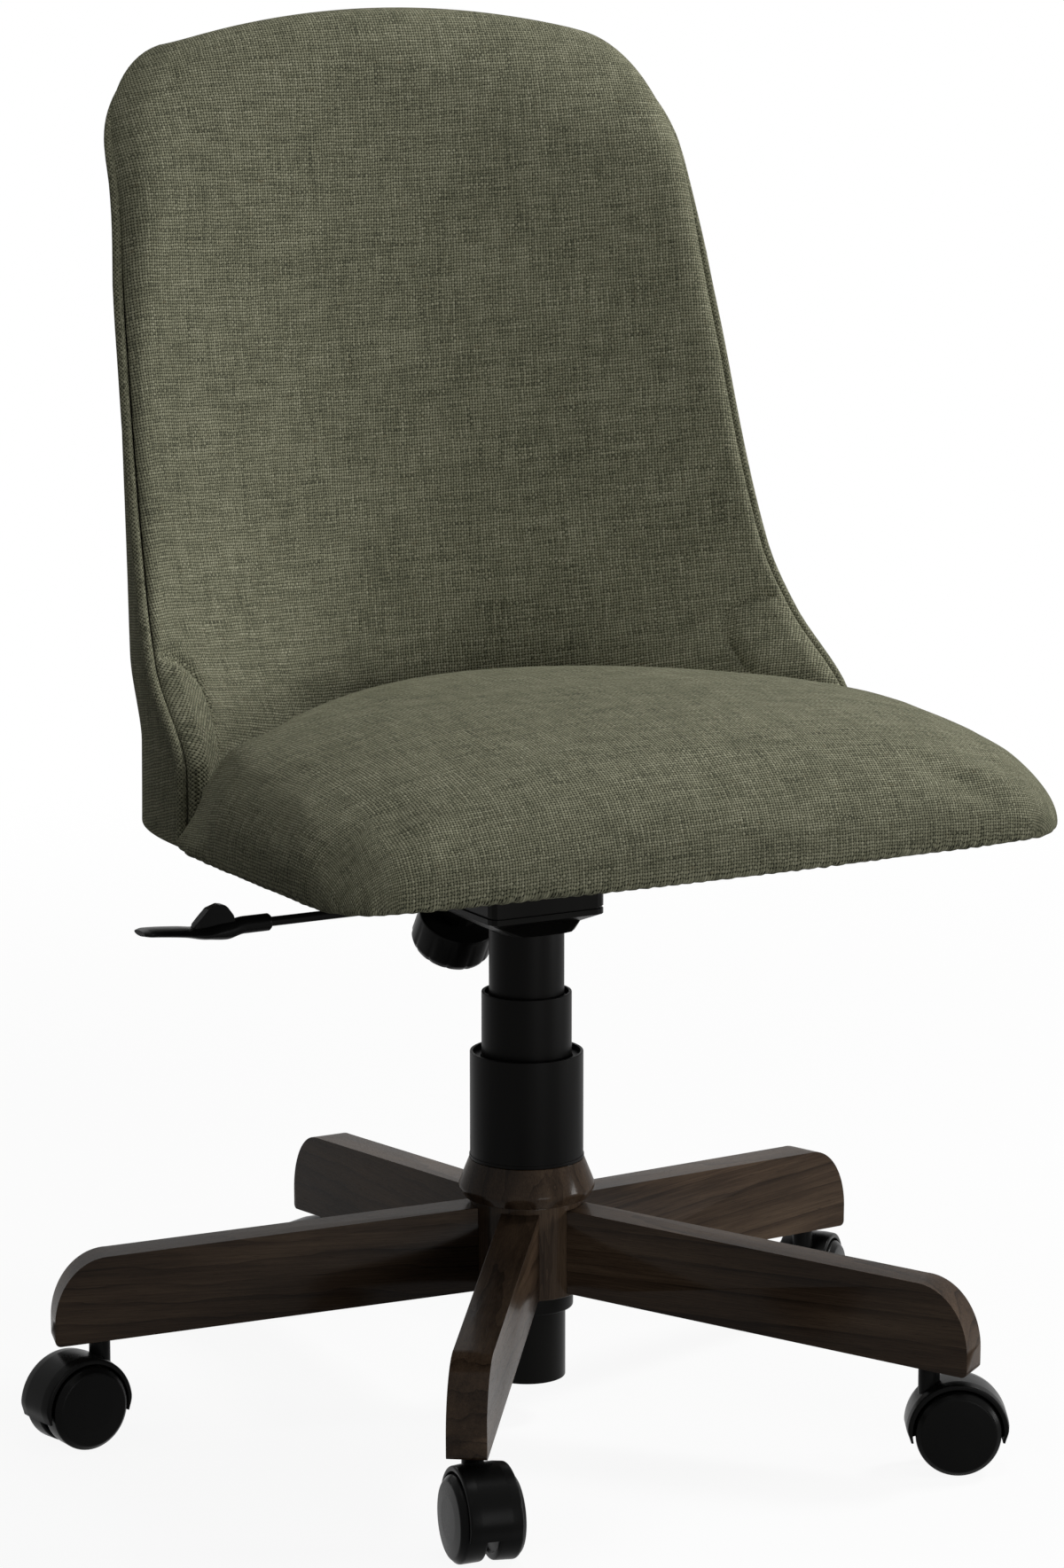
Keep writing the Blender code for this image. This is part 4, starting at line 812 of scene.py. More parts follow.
@dataclass(frozen=True)
class Axis:
    """Where the column stands in the frame. Every other place is measured from it."""

    x: float
    y: float

    @staticmethod
    def of_frame() -> "Axis":
        """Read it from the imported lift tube."""
        low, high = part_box("lift_tube")
        return Axis((low.x + high.x) / 2, (low.y + high.y) / 2)

    def matrix(self) -> Matrix:
        """Return the move from the column's own coordinates to the frame's."""
        return Matrix.Translation((self.x, self.y, 0.0))


@dataclass(frozen=True)
class WoodenBase:
    """Five sloping arms on a turned hub, with a collar above it and a ring below."""

    arms: int = 5
    first_arm: float = 36.0
    end_radius: float = 0.3066
    height: float = 0.0549
    half_thick: float = 0.0123
    end_z: float = 0.065
    slope: float = 0.08
    edge: float = 0.0040
    under_edge: float = 0.0014
    nose_run: float = 0.036
    nose_rise: float = 0.044
    nose_steps: int = 22
    foot: float = 0.0035
    foot_steps: int = 4
    board_step: Triple = (0.43, 0.006, 0.009)
    board_start: Triple = (0.0, -0.018, -0.115)
    turning_place: Triple = (0.9, 0.031, 0.020)
    hub_radius: float = 0.036
    hub_bottom: float = 0.084
    hub_top: float = 0.146
    bore: float = 0.0254
    seam: float = 0.0003
    collar_radius: float = 0.0442
    collar_top_radius: float = 0.0369
    collar_wide: float = 0.0066
    collar_height: float = 0.025
    ring_radius: float = 0.030
    ring_height: float = 0.011

    def underside(self, radius: float) -> float:
        """Return the height of an arm's underside at a distance from the column."""
        return self.end_z + self.slope * (self.end_radius - radius)

    def arm_mesh(self) -> bpy.types.Mesh:
        """Make one arm along +X: a plank with a big rounded nose and softened edges.

        Returns:
            The mesh, in the arm's own coordinates.
        """
        inner = self.hub_radius * 0.6
        nose_x = self.end_radius - self.nose_run
        nose_z = self.end_z + self.height + self.slope * self.nose_run - self.nose_rise
        outline = [(inner, self.underside(inner))]
        for step in range(self.foot_steps + 1):
            angle = math.pi / 2 * step / self.foot_steps
            outline.append((self.end_radius - self.foot * (1 - math.sin(angle)),
                            self.underside(self.end_radius) + self.foot * (1 - math.cos(angle))))
        for step in range(self.nose_steps + 1):
            angle = math.pi / 2 * step / self.nose_steps
            outline.append((nose_x + self.nose_run * math.cos(angle),
                            nose_z + self.nose_rise * math.sin(angle)))
        outline.append((inner, self.underside(inner) + self.height))
        bm = loft([[(x, y, z) for x, z in outline] for y in (-self.half_thick, self.half_thick)])
        long_edges = [e for e in bm.edges if abs(e.verts[0].co.y - e.verts[1].co.y) < 1e-6
                      and max(v.co.x for v in e.verts) > self.hub_radius]
        top = [e for e in long_edges if self._above_foot(e)]
        low = [e for e in long_edges if not self._above_foot(e)]
        for edges, width, steps in ((top, self.edge, 5), (low, self.under_edge, 3)):
            bmesh.ops.bevel(bm, geom=[e for e in edges if e.is_valid], offset=width, segments=steps,
                            profile=0.5, affect="EDGES", clamp_overlap=True)
        space = plug(self.hub_radius + self.seam, 0.0, 0.2, 96)
        return combined("arm", bm, [("DIFFERENCE", space)])

    def _above_foot(self, edge: bmesh.types.BMEdge) -> bool:
        """Tell whether an edge lies above the arm's underside and its foot."""
        middle = (edge.verts[0].co + edge.verts[1].co) / 2
        return middle.z > self.underside(middle.x) + 0.9 * self.foot

    def build(self, axis: Axis, finishes: Finishes) -> None:
        """Make the hub, collar, ring and arms.

        Args:
            axis: the column's place.
            finishes: the materials.
        """
        pattern = self.arm_mesh()
        for number in range(1, self.arms + 1):
            mesh = pattern.copy()
            cut = [step * number + start for step, start in zip(self.board_step, self.board_start)]
            set_grain(mesh, (0, 1, 2), Vector(cut))
            angle = self.first_arm + 360.0 / self.arms * (number - 1) - 90.0
            mesh.transform(axis.matrix() @ rotation("Z", angle))
            show(f"arm_{number}_plank", mesh, finishes.wood, "base", Slot.WALNUT, [f"arm_{number}"], 50.0)
        self._turned_piece("hub_post", [
            (self.bore, self.hub_bottom, 0.0), (self.hub_radius, self.hub_bottom, 0.002),
            (self.hub_radius, self.hub_top, 0.0015), (self.bore, self.hub_top, 0.0)],
            axis, finishes.wood, Slot.WALNUT, "hub")
        low = self.hub_top + self.seam
        top = low + self.collar_height
        self._turned_piece("collar_turned", [
            (self.bore, low, 0.0), (self.collar_radius - 0.0040, low, 0.0012),
            (self.collar_radius, low + self.collar_wide, 0.0042),
            (self.collar_top_radius, top, 0.0006), (self.bore, top, 0.0)],
            axis, finishes.wood, Slot.WALNUT, "collar")
        ring_top = self.hub_bottom - self.seam
        self._turned_piece("hub_ring_turned", [
            (self.bore, ring_top - self.ring_height, 0.0),
            (self.ring_radius, ring_top - self.ring_height, 0.0015),
            (self.ring_radius, ring_top, 0.0005), (self.bore, ring_top, 0.0)],
            axis, finishes.coated, Slot.BLACK_METAL, "hub_ring")

    def _turned_piece(self, name: str, corners: Sequence[Triple], axis: Axis,
                      finish: bpy.types.Material, slot: Slot, node: str) -> None:
        """Turn one round piece about the column and show it.

        Args:
            name: the piece's name.
            corners: (radius, height, rounding) of its section.
            axis: the column's place.
            finish: its material.
            slot: its material slot.
            node: the CAD node that it stands for.
        """
        mesh = mesh_of(name, turned(fillet(corners), 96))
        set_grain(mesh, (2, 0, 1), Vector(self.turning_place))
        mesh.transform(axis.matrix())
        show(name, mesh, finish, "base", slot, [node])


@dataclass(frozen=True)
class Caster:
    """A hooded twin-wheel caster. Its stem stands at X = 0 and its axle at +X."""

    stem_circle: float = 0.2771
    swing: float = 25.0
    trail: float = 0.0177
    wheel_radius: float = 0.027
    wheel_in: float = 0.0036
    wheel_out: float = 0.0212
    axle_z: float = 0.02667
    hood_clear: float = 0.0015
    hood_wall: float = 0.0040
    hood_half: float = 0.0165
    hood_drop: float = 12.0
    hood_steps: int = 56
    end_steps: int = 5
    end_thin: float = 0.45
    web_half: float = 0.0025
    ring_radius: float = 0.0078
    boss_radius: float = 0.0068
    boss_gap: float = 0.001
    stem_hole: float = 0.0042
    stem_sunk: float = 0.0128
    axle_hole: float = 0.0037

    def wheel_mesh(self) -> bpy.types.Mesh:
        """Make one wheel about Z: a rounded tread and a slightly domed closed disc outside.

        Returns:
            The mesh, in the wheel's own coordinates.
        """
        radius, inside, outside = self.wheel_radius, self.wheel_in, self.wheel_out
        profile = fillet([
            (0.0, outside - 0.0036, 0.0), (0.0034, outside - 0.0036, 0.0), (0.0034, inside, 0.0004),
            (0.0075, inside, 0.0005), (0.0090, inside + 0.0015, 0.001),
            (radius - 0.0060, inside + 0.0015, 0.001),
            (radius - 0.0045, inside, 0.0008), (radius - 0.0006, inside, 0.0022),
            (radius, outside - 0.0040, 0.003), (radius - 0.0034, outside - 0.0006, 0.0026),
            (radius - 0.0130, outside - 0.0001, 0.004), (0.0, outside, 0.0)], 6)
        return mesh_of("wheel", turned(profile, 72))

    def hood_mesh(self, boss_top: float) -> bpy.types.Mesh:
        """Return the hood: an arch over the wheels, its web, the stem's boss and the axle's ring.

        Args:
            boss_top: height of the boss's top.

        Returns:
            The hood, in the caster's coordinates.
        """
        inner = self.wheel_radius + self.hood_clear
        outer = inner + self.hood_wall
        start = -math.radians(self.hood_drop)
        span = math.pi - 2 * start
        web_in = 0.6 * self.ring_radius
        corners = [
            (web_in, -self.web_half, 0.0), (inner, -self.web_half, 0.0015), (inner, -self.hood_half, 0.0006),
            (outer - 0.0008, -self.hood_half, 0.0016), (outer, -self.hood_half + 0.007, 0.004),
            (outer, self.hood_half - 0.007, 0.004), (outer - 0.0008, self.hood_half, 0.0016),
            (inner, self.hood_half, 0.0006), (inner, self.web_half, 0.0015), (web_in, self.web_half, 0.0)]
        section = fillet(corners, 4)
        rings = []
        for step in range(self.hood_steps + 1):
            angle = start + span * step / self.hood_steps
            near_end = min(step, self.hood_steps - step) / self.end_steps
            thin = self.end_thin + (1 - self.end_thin) * smooth_step(near_end, 0.0, 1.0)
            ring = []
            for radius, side in section:
                if radius > inner:
                    radius = inner + (radius - inner) * thin
                ring.append((self.trail + radius * math.cos(angle), side,
                             self.axle_z + radius * math.sin(angle)))
            rings.append(ring)
        to_axle = Matrix.Translation((self.trail, 0, self.axle_z)) @ rotation("X", 90)
        boss = turned(fillet([(0.0, self.axle_z, 0.0), (self.boss_radius, self.axle_z, 0.0),
                              (self.boss_radius, boss_top, 0.001), (0.0, boss_top, 0.0)], 4), 48)
        wheel_space = moved(plug(inner + 0.001, -0.03, 0.03, 72), to_axle)
        boss_part = bmesh.new()
        boss_part.from_mesh(combined("boss", boss, [("DIFFERENCE", wheel_space)]))
        half = self.web_half + 0.0004
        ring_section = fillet([(0.0, -half, 0.0), (self.ring_radius, -half, 0.0003),
                               (self.ring_radius, half, 0.0003), (0.0, half, 0.0)], 2)
        ring_part = moved(turned(ring_section, 40), to_axle)
        axle_hole = moved(plug(self.axle_hole, -0.02, 0.02, 32), to_axle)
        stem_hole = plug(self.stem_hole, boss_top - self.stem_sunk, boss_top + 0.01, 32)
        return combined("hood", loft(rings), [("UNION", boss_part), ("UNION", ring_part),
                                              ("DIFFERENCE", axle_hole), ("DIFFERENCE", stem_hole)])

    def build(self, axis: Axis, base: WoodenBase, finishes: Finishes) -> None:
        """Make the five casters.

        Args:
            axis: the column's place.
            base: the arms that they stand under.
            finishes: the materials.
        """
        wheel = self.wheel_mesh()
        hood = self.hood_mesh(base.underside(self.stem_circle) - self.boss_gap)
        for number in range(1, base.arms + 1):
            angle = base.first_arm + 360.0 / base.arms * (number - 1)
            stem = Matrix.Translation((self.stem_circle * math.sin(math.radians(angle)),
                                       -self.stem_circle * math.cos(math.radians(angle)), 0.0))
            place = axis.matrix() @ stem @ rotation("Z", angle + self.swing - 90.0)
            name = f"caster_{number}"
            hood_copy = hood.copy()
            hood_copy.transform(place)
            show(f"{name}_cowl", hood_copy, finishes.plastic, name, Slot.BLACK_PLASTIC, [f"{name}_hood"])
            to_axle = Matrix.Translation((self.trail, 0, self.axle_z))
            for side, turn in (("a", 90), ("b", -90)):
                copy = wheel.copy()
                copy.transform(place @ to_axle @ rotation("X", turn))
                show(f"{name}_disc_{side}", copy, finishes.plastic, f"{name}_{side}", Slot.BLACK_PLASTIC,
                     [f"{name}_wheel_{side}"], 50.0)


@dataclass(frozen=True)
class Column:
    """The lift tube and the three stages of its telescopic cover."""

    tube_radius: float = 0.025
    tube_wall: float = 0.0015
    tube_bottom: float = 0.026
    tube_top: float = 0.190
    rod_hole: float = 0.0054
    floor_low: float = 0.032
    floor_high: float = 0.035
    wall: float = 0.0019
    lip: float = 0.0025
    lip_sunk: float = 0.0035
    foot: float = 0.002
    foot_proud: float = 0.0005
    run: float = 0.0004
    lower_radius: float = 0.0364
    lower_bottom: float = 0.1716
    lower_top: float = 0.2413
    middle_radius: float = 0.0289
    middle_bottom: float = 0.2075
    middle_top: float = 0.2803
    upper_radius: float = 0.0241
    upper_bottom: float = 0.260
    upper_top: float = 0.3217
    cylinder_radius: float = 0.014

    def sleeve(self, radius: float, low: float, high: float, foot: Point2, lip_in: float) -> Outline:
        """Return the section of one stage of the cover.

        Args:
            radius: outer radius.
            low: its bottom.
            high: its top.
            foot: inner and outer radius of the foot flange.
            lip_in: inner radius of the lip that guides the next stage.

        Returns:
            The section, as (radius, height) points.
        """
        inner = radius - self.wall
        lip_high = high - self.lip_sunk
        return fillet([
            (foot[0], low, 0.0), (foot[1], low, 0.0004), (foot[1], low + self.foot, 0.0003),
            (radius, low + self.foot, 0.0), (radius, high, 0.0007), (inner, high, 0.0005),
            (inner, lip_high, 0.0), (lip_in, lip_high, 0.0006), (lip_in, lip_high - self.lip, 0.0004),
            (inner, lip_high - self.lip, 0.0), (inner, low + self.foot, 0.0),
            (foot[0], low + self.foot, 0.0)], 4)

    def build(self, axis: Axis, finishes: Finishes) -> None:
        """Make the tube and the three sleeves.

        Args:
            axis: the column's place.
            finishes: the materials.
        """
        tube_in = self.tube_radius - self.tube_wall
        lower_in = self.lower_radius - self.wall
        middle_in = self.middle_radius - self.wall
        upper_in = self.upper_radius - self.wall
        tube = fillet([
            (self.rod_hole, self.floor_low, 0.0), (tube_in, self.floor_low, 0.0),
            (tube_in, self.tube_bottom, 0.0004),
            (self.tube_radius, self.tube_bottom, 0.0012), (self.tube_radius, self.tube_top, 0.0004),
            (tube_in, self.tube_top, 0.0004), (tube_in, self.floor_high, 0.0),
            (self.rod_hole, self.floor_high, 0.0)], 4)
        pieces = (
            ("lift_tube_turned", tube, finishes.coated, "base", Slot.BLACK_METAL, "lift_tube"),
            ("sleeve_lower_turned",
             self.sleeve(self.lower_radius, self.lower_bottom, self.lower_top,
                         (self.tube_radius + self.run, self.lower_radius + self.foot_proud),
                         self.middle_radius + self.run),
             finishes.sleeve, "base", Slot.BLACK_PLASTIC, "sleeve_lower"),
            ("sleeve_middle_turned",
             self.sleeve(self.middle_radius, self.middle_bottom, self.middle_top,
                         (middle_in, lower_in - self.run), self.upper_radius + self.run),
             finishes.sleeve, "middle", Slot.BLACK_PLASTIC, "sleeve_middle"),
            ("sleeve_upper_turned",
             self.sleeve(self.upper_radius, self.upper_bottom, self.upper_top,
                         (upper_in, middle_in - self.run), self.cylinder_radius + 0.0003),
             finishes.sleeve, "carriage", Slot.BLACK_PLASTIC, "sleeve_upper"),
        )
        for name, section, finish, body, slot, node in pieces:
            mesh = mesh_of(name, turned(section, 96))
            mesh.transform(axis.matrix())
            show(name, mesh, finish, body, slot, [node])


@dataclass(frozen=True)
class TensionKnob:
    """The big tension knob, a leaning cup with shallow finger grips."""

    y: float = 0.1037
    z: float = 0.289
    lean: float = 31.0
    radius: float = 0.0265
    height: float = 0.026
    bolt_radius: float = 0.0043
    hole_floor: float = 0.006
    grips: int = 12
    grip_depth: float = 0.0008

    def placing(self, axis: Axis) -> Matrix:
        """Work out where the knob stands.

        Args:
            axis: the column's place.

        Returns:
            The move from the knob's own axis to the frame.
        """
        lean = math.radians(self.lean)
        up = Vector((0.0, -math.sin(lean), math.cos(lean)))
        turn = up.to_track_quat("Z", "X").to_matrix().to_4x4()
        return axis.matrix() @ Matrix.Translation((0.0, self.y, self.z)) @ turn

    def mesh(self) -> bpy.types.Mesh:
        """Make the knob about its own axis.

        Returns:
            The mesh.
        """
        profile = fillet([(0.0, 0.0, 0.0), (self.radius * 0.9, 0.0, 0.004), (self.radius, 0.005, 0.004),
                          (self.radius * 0.985, self.height, 0.0018), (0.0, self.height, 0.0)], 6)
        bm = turned(profile, self.grips * 10)
        for vertex in bm.verts:
            angle = math.atan2(vertex.co.y, vertex.co.x)
            radius = math.hypot(vertex.co.x, vertex.co.y)
            groove = max(0.0, math.cos(self.grips * angle)) ** 6
            share = smooth_step(radius, self.radius * 0.8, self.radius * 0.97)
            share *= 1 - smooth_step(vertex.co.z, self.height * 0.80, self.height * 0.92)
            factor = 1 - self.grip_depth * groove * share / max(radius, 1e-6)
            vertex.co.x *= factor
            vertex.co.y *= factor
        hole = plug(self.bolt_radius, self.hole_floor, self.height + 0.01, 40)
        return combined("knob", bm, [("DIFFERENCE", hole)])

    def build(self, axis: Axis, finishes: Finishes) -> None:
        """Make the knob.

        Args:
            axis: the column's place.
            finishes: the materials.
        """
        knob = self.mesh()
        knob.transform(self.placing(axis))
        show("tension_knob_cup", knob, finishes.plastic, "knob", Slot.BLACK_PLASTIC, ["tension_knob"])


@dataclass(frozen=True)
class HeightLever:
    """The lever's bent rod and its paddle handle, which points to the sitter's right."""

    z: float = 0.345
    rod_radius: float = 0.003
    rod_end: float = 0.200
    pivot_x: float = -0.040
    tip_z: float = 0.3736
    handle_start: float = 0.183
    stations: tuple[tuple[float, float, float, float], ...] = (
        (0.0, 0.0046, 0.0046, 0.0), (0.0012, 0.0055, 0.0055, 0.0), (0.018, 0.0055, 0.0055, 0.0),
        (0.030, 0.0075, 0.0058, -0.0020), (0.045, 0.0105, 0.0040, -0.0022),
        (0.062, 0.0120, 0.0029, 0.0002), (0.084, 0.0110, 0.0024, 0.0022), (0.089, 0.0075, 0.0017, 0.0024))
    tab: Stations = ((0.024, 0.0), (0.026, 0.0075), (0.031, 0.0142), (0.036, 0.0152), (0.043, 0.0130),
                     (0.049, 0.0070), (0.055, 0.0005))
    tab_half: float = 0.0032
    tab_edge: float = 0.0011
    slices: int = 44
    sides: int = 32
    rod_sides: int = 24

    def handle_mesh(self) -> bpy.types.Mesh:
        """Make the handle: a socket on the rod that flattens into a paddle, with a thumb tab on top.

        Returns:
            The mesh about the column's axis.
        """
        rows = [tuple((s[0], s[i]) for s in self.stations) for i in (1, 2, 3)]
        length = self.stations[-1][0]
        outs = sorted({*(s[0] for s in self.stations),
                       *(length * i / self.slices for i in range(self.slices + 1))})
        rings = []
        for out in outs:
            half_y, half_z, lift = (between(out, row) for row in rows)
            rings.append([(-(self.handle_start + out), half_y * math.cos(TURN * k / self.sides),
                           self.z + lift + half_z * math.sin(TURN * k / self.sides))
                          for k in range(self.sides)])
        line = fillet([(out, high, 0.004) for out, high in self.tab], 4)
        tab = loft([[(-(self.handle_start + out), y, self.z + high) for out, high in line]
                    for y in (-self.tab_half, self.tab_half)])
        rims = [e for e in tab.edges if abs(e.verts[0].co.y - e.verts[1].co.y) < 1e-6]
        bmesh.ops.bevel(tab, geom=rims, offset=self.tab_edge, segments=3, profile=0.5, affect="EDGES",
                        clamp_overlap=True)
        return combined("handle", loft(rings), [("UNION", tab)])

    def rod_mesh(self) -> bpy.types.Mesh:
        """Make the rod, from inside the handle to above the lift's valve.

        Returns:
            The mesh about the column's axis.
        """
        path = [(-self.rod_end, self.z, 0.0), (self.pivot_x, self.z, 0.0), (-0.031, self.z + 0.0005, 0.004),
                (-0.017, self.tip_z - 0.0035, 0.004), (0.005, self.tip_z, 0.0)]
        line = fillet(path, 6)
        rings = []
        for i, (x, z) in enumerate(line):
            before, after = line[max(i - 1, 0)], line[min(i + 1, len(line) - 1)]
            run = Vector((after[0] - before[0], 0.0, after[1] - before[1])).normalized()
            up = Vector((-run.z, 0.0, run.x))
            rings.append([Vector((x, 0.0, z)) + up * (self.rod_radius * math.sin(TURN * k / self.rod_sides))
                          + Vector((0.0, self.rod_radius * math.cos(TURN * k / self.rod_sides), 0.0))
                          for k in range(self.rod_sides)])
        return mesh_of("rod", loft(rings))

    def build(self, axis: Axis, finishes: Finishes) -> None:
        """Make the rod and the handle.

        Args:
            axis: the column's place.
            finishes: the materials.
        """
        for name, mesh, finish, slot, node in (
                ("lever_rod_bar", self.rod_mesh(), finishes.coated, Slot.BLACK_METAL, "lever_rod"),
                ("lever_paddle", self.handle_mesh(), finishes.plastic, Slot.BLACK_PLASTIC, "lever_handle")):
            mesh.transform(axis.matrix())
            show(name, mesh, finish, "lever", slot, [node])


@dataclass(frozen=True)
class BackForm:
    """Shape of the back: a shell that wraps round the sitter, edged with piping."""

    top: float = 0.8835
    arch_radius: float = 0.62
    arch_start: float = 0.66
    corner: float = 0.053
    squareness: float = 0.45
    corner_power: float = 0.93
    top_sink: float = 0.0013
    edge_sink: float = 0.0028
    inner_sink: float = 0.012
    nose_depth: float = 0.008
    nose_width: float = 0.010
    nose_left: float = 0.35
    roll_steps: int = 16
    face_steps: int = 60
    rear_steps: int = 80
    crowding: float = 0.5
    corner_rows: int = 20
    corner_end: float = 87.0
    top_steps: int = 24
    crest_turn: Point2 = (8.0, 84.0)
    crest: float = 0.0110
    crest_back: float = 0.007
    piping_radius: float = 0.0032
    piping_spacing: float = 0.008
    proud: Stations = ((0.740, 0.0025), (0.800, 0.0008), (0.880, 0.0))
    noses: Stations = ((0.450, 0.0), (0.560, 0.003), (0.690, 0.008), (0.790, 0.016), (0.840, 0.018))
    rolls: Stations = ((0.500, 0.006), (0.620, 0.016), (0.760, 0.026))
    bends: Stations = ((0.397, 0.120), (0.480, 0.120), (0.620, 0.180), (0.840, 0.300))
    widths: Stations = ((0.397, 0.2415), (0.458, 0.2380), (0.541, 0.2250), (0.666, 0.2160), (0.840, 0.2045))
    edges: Stations = ((0.397, -0.003), (0.445, 0.002), (0.499, 0.058), (0.541, 0.085), (0.700, 0.134),
                       (0.820, 0.162), (0.865, 0.188), (0.893, 0.210))
    rears: Stations = ((0.397, 0.197), (0.470, 0.210), (0.586, 0.2155), (0.840, 0.2115))
    powers: Stations = ((0.397, 2.5), (0.586, 2.2), (0.800, 2.0))
    faces: Stations = ((0.397, 0.143), (0.470, 0.151), (0.600, 0.162), (0.840, 0.176))

    def turned_in(self, corner_angle: float) -> float:
        """Return how far the outline has turned in where a row has turned over the top edge."""
        return self.corner * (1 - max(0.0, math.cos(corner_angle)) ** self.corner_power)

    def wrap(self, x: float, reach: float, level: float) -> float:
        """Return the share of the wrap-round depth at x."""
        bend = between(level, self.bends)
        return (math.hypot(x, bend) - bend) / (math.hypot(reach, bend) - bend)

    def sides(self, level: float, corner_angle: float = 0.0) -> tuple[Outline, Outline]:
        """Return the front and rear lines of the back's right half at a height.

        Args:
            level: the height.
            corner_angle: how far the row has turned over the top edge, in radians.

        Returns:
            Both lines, from the piping to the middle, as (x, y) points.
        """
        half, edge = between(level, self.widths), between(level, self.edges)
        power = between(level, self.powers)
        shrink = math.cos(corner_angle) ** self.squareness
        half -= self.turned_in(corner_angle)
        rear = edge + (between(level, self.rears) - edge) * shrink
        face = edge + (between(level, self.faces) - edge) * shrink
        nose = between(level, self.noses) * (self.nose_left + (1 - self.nose_left) * shrink)
        tip_x, tip_y = half - self.nose_width, edge - nose
        roll = between(level, self.rolls)
        front = []
        for step in range(self.roll_steps + self.face_steps + 1):
            turn = min(math.pi * step / (2 * self.roll_steps), math.pi / 2)
            inwards = max(0, step - self.roll_steps) / self.face_steps
            x = (half - roll * (1 - math.cos(turn))) * (1 - inwards)
            line = face - (face - tip_y) * self.wrap(x, tip_x, level)
            front.append((x, edge + (line - edge) * math.sin(turn)))
        back = []
        for step in range(self.rear_steps + 1):
            angle = math.pi * step / (2 * self.rear_steps)
            back.append((half * math.cos(angle) ** (2 / power),
                         edge + (rear - edge) * math.sin(angle) ** (2 / power)))
        return front, back

    def sink(self, layer: Layer) -> float:
        """Return how far a layer's face starts from the piping."""
        return self.edge_sink if layer in (Layer.FRONT, Layer.REAR) else self.inner_sink

    def line(self, level: float, layer: Layer, corner_angle: float, count: int) -> Outline:
        """Draw a layer's line at a height, with its points closer together near the piping.

        Args:
            level: the height.
            layer: which face of the back.
            corner_angle: how far the row has turned over the top edge, in radians.
            count: how many points are wanted.

        Returns:
            The line, from the piping to the middle.
        """
        front, back = self.sides(level, corner_angle)
        front = spread(front, count, self.sink(layer), self.crowding)
        back = spread(back, count, self.sink(layer), self.crowding)
        share = layer.value
        return [(x0 + (x1 - x0) * share, y0 + (y1 - y0) * share) for (x0, y0), (x1, y1) in zip(front, back)]

    def crested(self, point: Vector, angle: float) -> Vector:
        """Swell the front padding outwards where a row has turned over the top edge.

        Args:
            point: a point of the padding.
            angle: how far its row has turned over, in radians.

        Returns:
            The moved point.
        """
        share = smooth_step(math.degrees(angle), *self.crest_turn)
        swell = self.crest * share
        across = point.x / between(self.top, self.widths)
        return point + Vector((across * swell * math.cos(angle), self.crest_back * share * (1 - across ** 2),
                               swell * math.sin(angle)))

    def arch_drop(self, x: float, level: float) -> float:
        """Return how far a point lies below its row's middle, because the top is arched."""
        return smooth_step(level, self.arch_start, self.top) * x * x / (2 * self.arch_radius)

    def rows(self, bottom: float, sink: float, spacing: float) -> list[Point2]:
        """Return (height, corner angle) of the rows up the back, which lie closer together low down.

        Args:
            bottom: the lowest row's height.
            sink: how far the top row ends below the piping's line.
            spacing: distance between rows.

        Returns:
            The rows, lowest first.
        """
        straight_end = self.top - self.corner
        count = round((straight_end - bottom) / spacing)
        made = [(bottom + (straight_end - bottom) * (i / count) * (1 + i / count) / 2, 0.0)
                for i in range(count)]
        for step in range(self.corner_rows):
            angle = math.radians(self.corner_end * step / (self.corner_rows - 1))
            made.append((straight_end + (self.corner - sink) * math.sin(angle) ** self.corner_power, angle))
        return made

    def edge_line(self, bottom: float) -> list[Vector]:
        """Draw the piping's middle line, from one bottom corner over the top to the other.

        Args:
            bottom: height of its two ends.

        Returns:
            The line's points.
        """
        right = []
        for level, angle in self.rows(bottom, 0.0, self.piping_spacing):
            x = between(level, self.widths) - self.turned_in(angle)
            height = level - self.arch_drop(x, level)
            proud = between(level, self.proud)
            right.append(Vector((x + proud * math.cos(angle), between(level, self.edges),
                                 height + proud * math.sin(angle))))
        half = between(self.top, self.widths) - self.corner
        for step in range(1, self.top_steps + 1):
            x = half * (1 - step / self.top_steps)
            right.append(Vector((x, between(self.top, self.edges),
                                 self.top + between(self.top, self.proud) - self.arch_drop(x, self.top))))
        return right + [Vector((-p.x, p.y, p.z)) for p in right[-2::-1]]


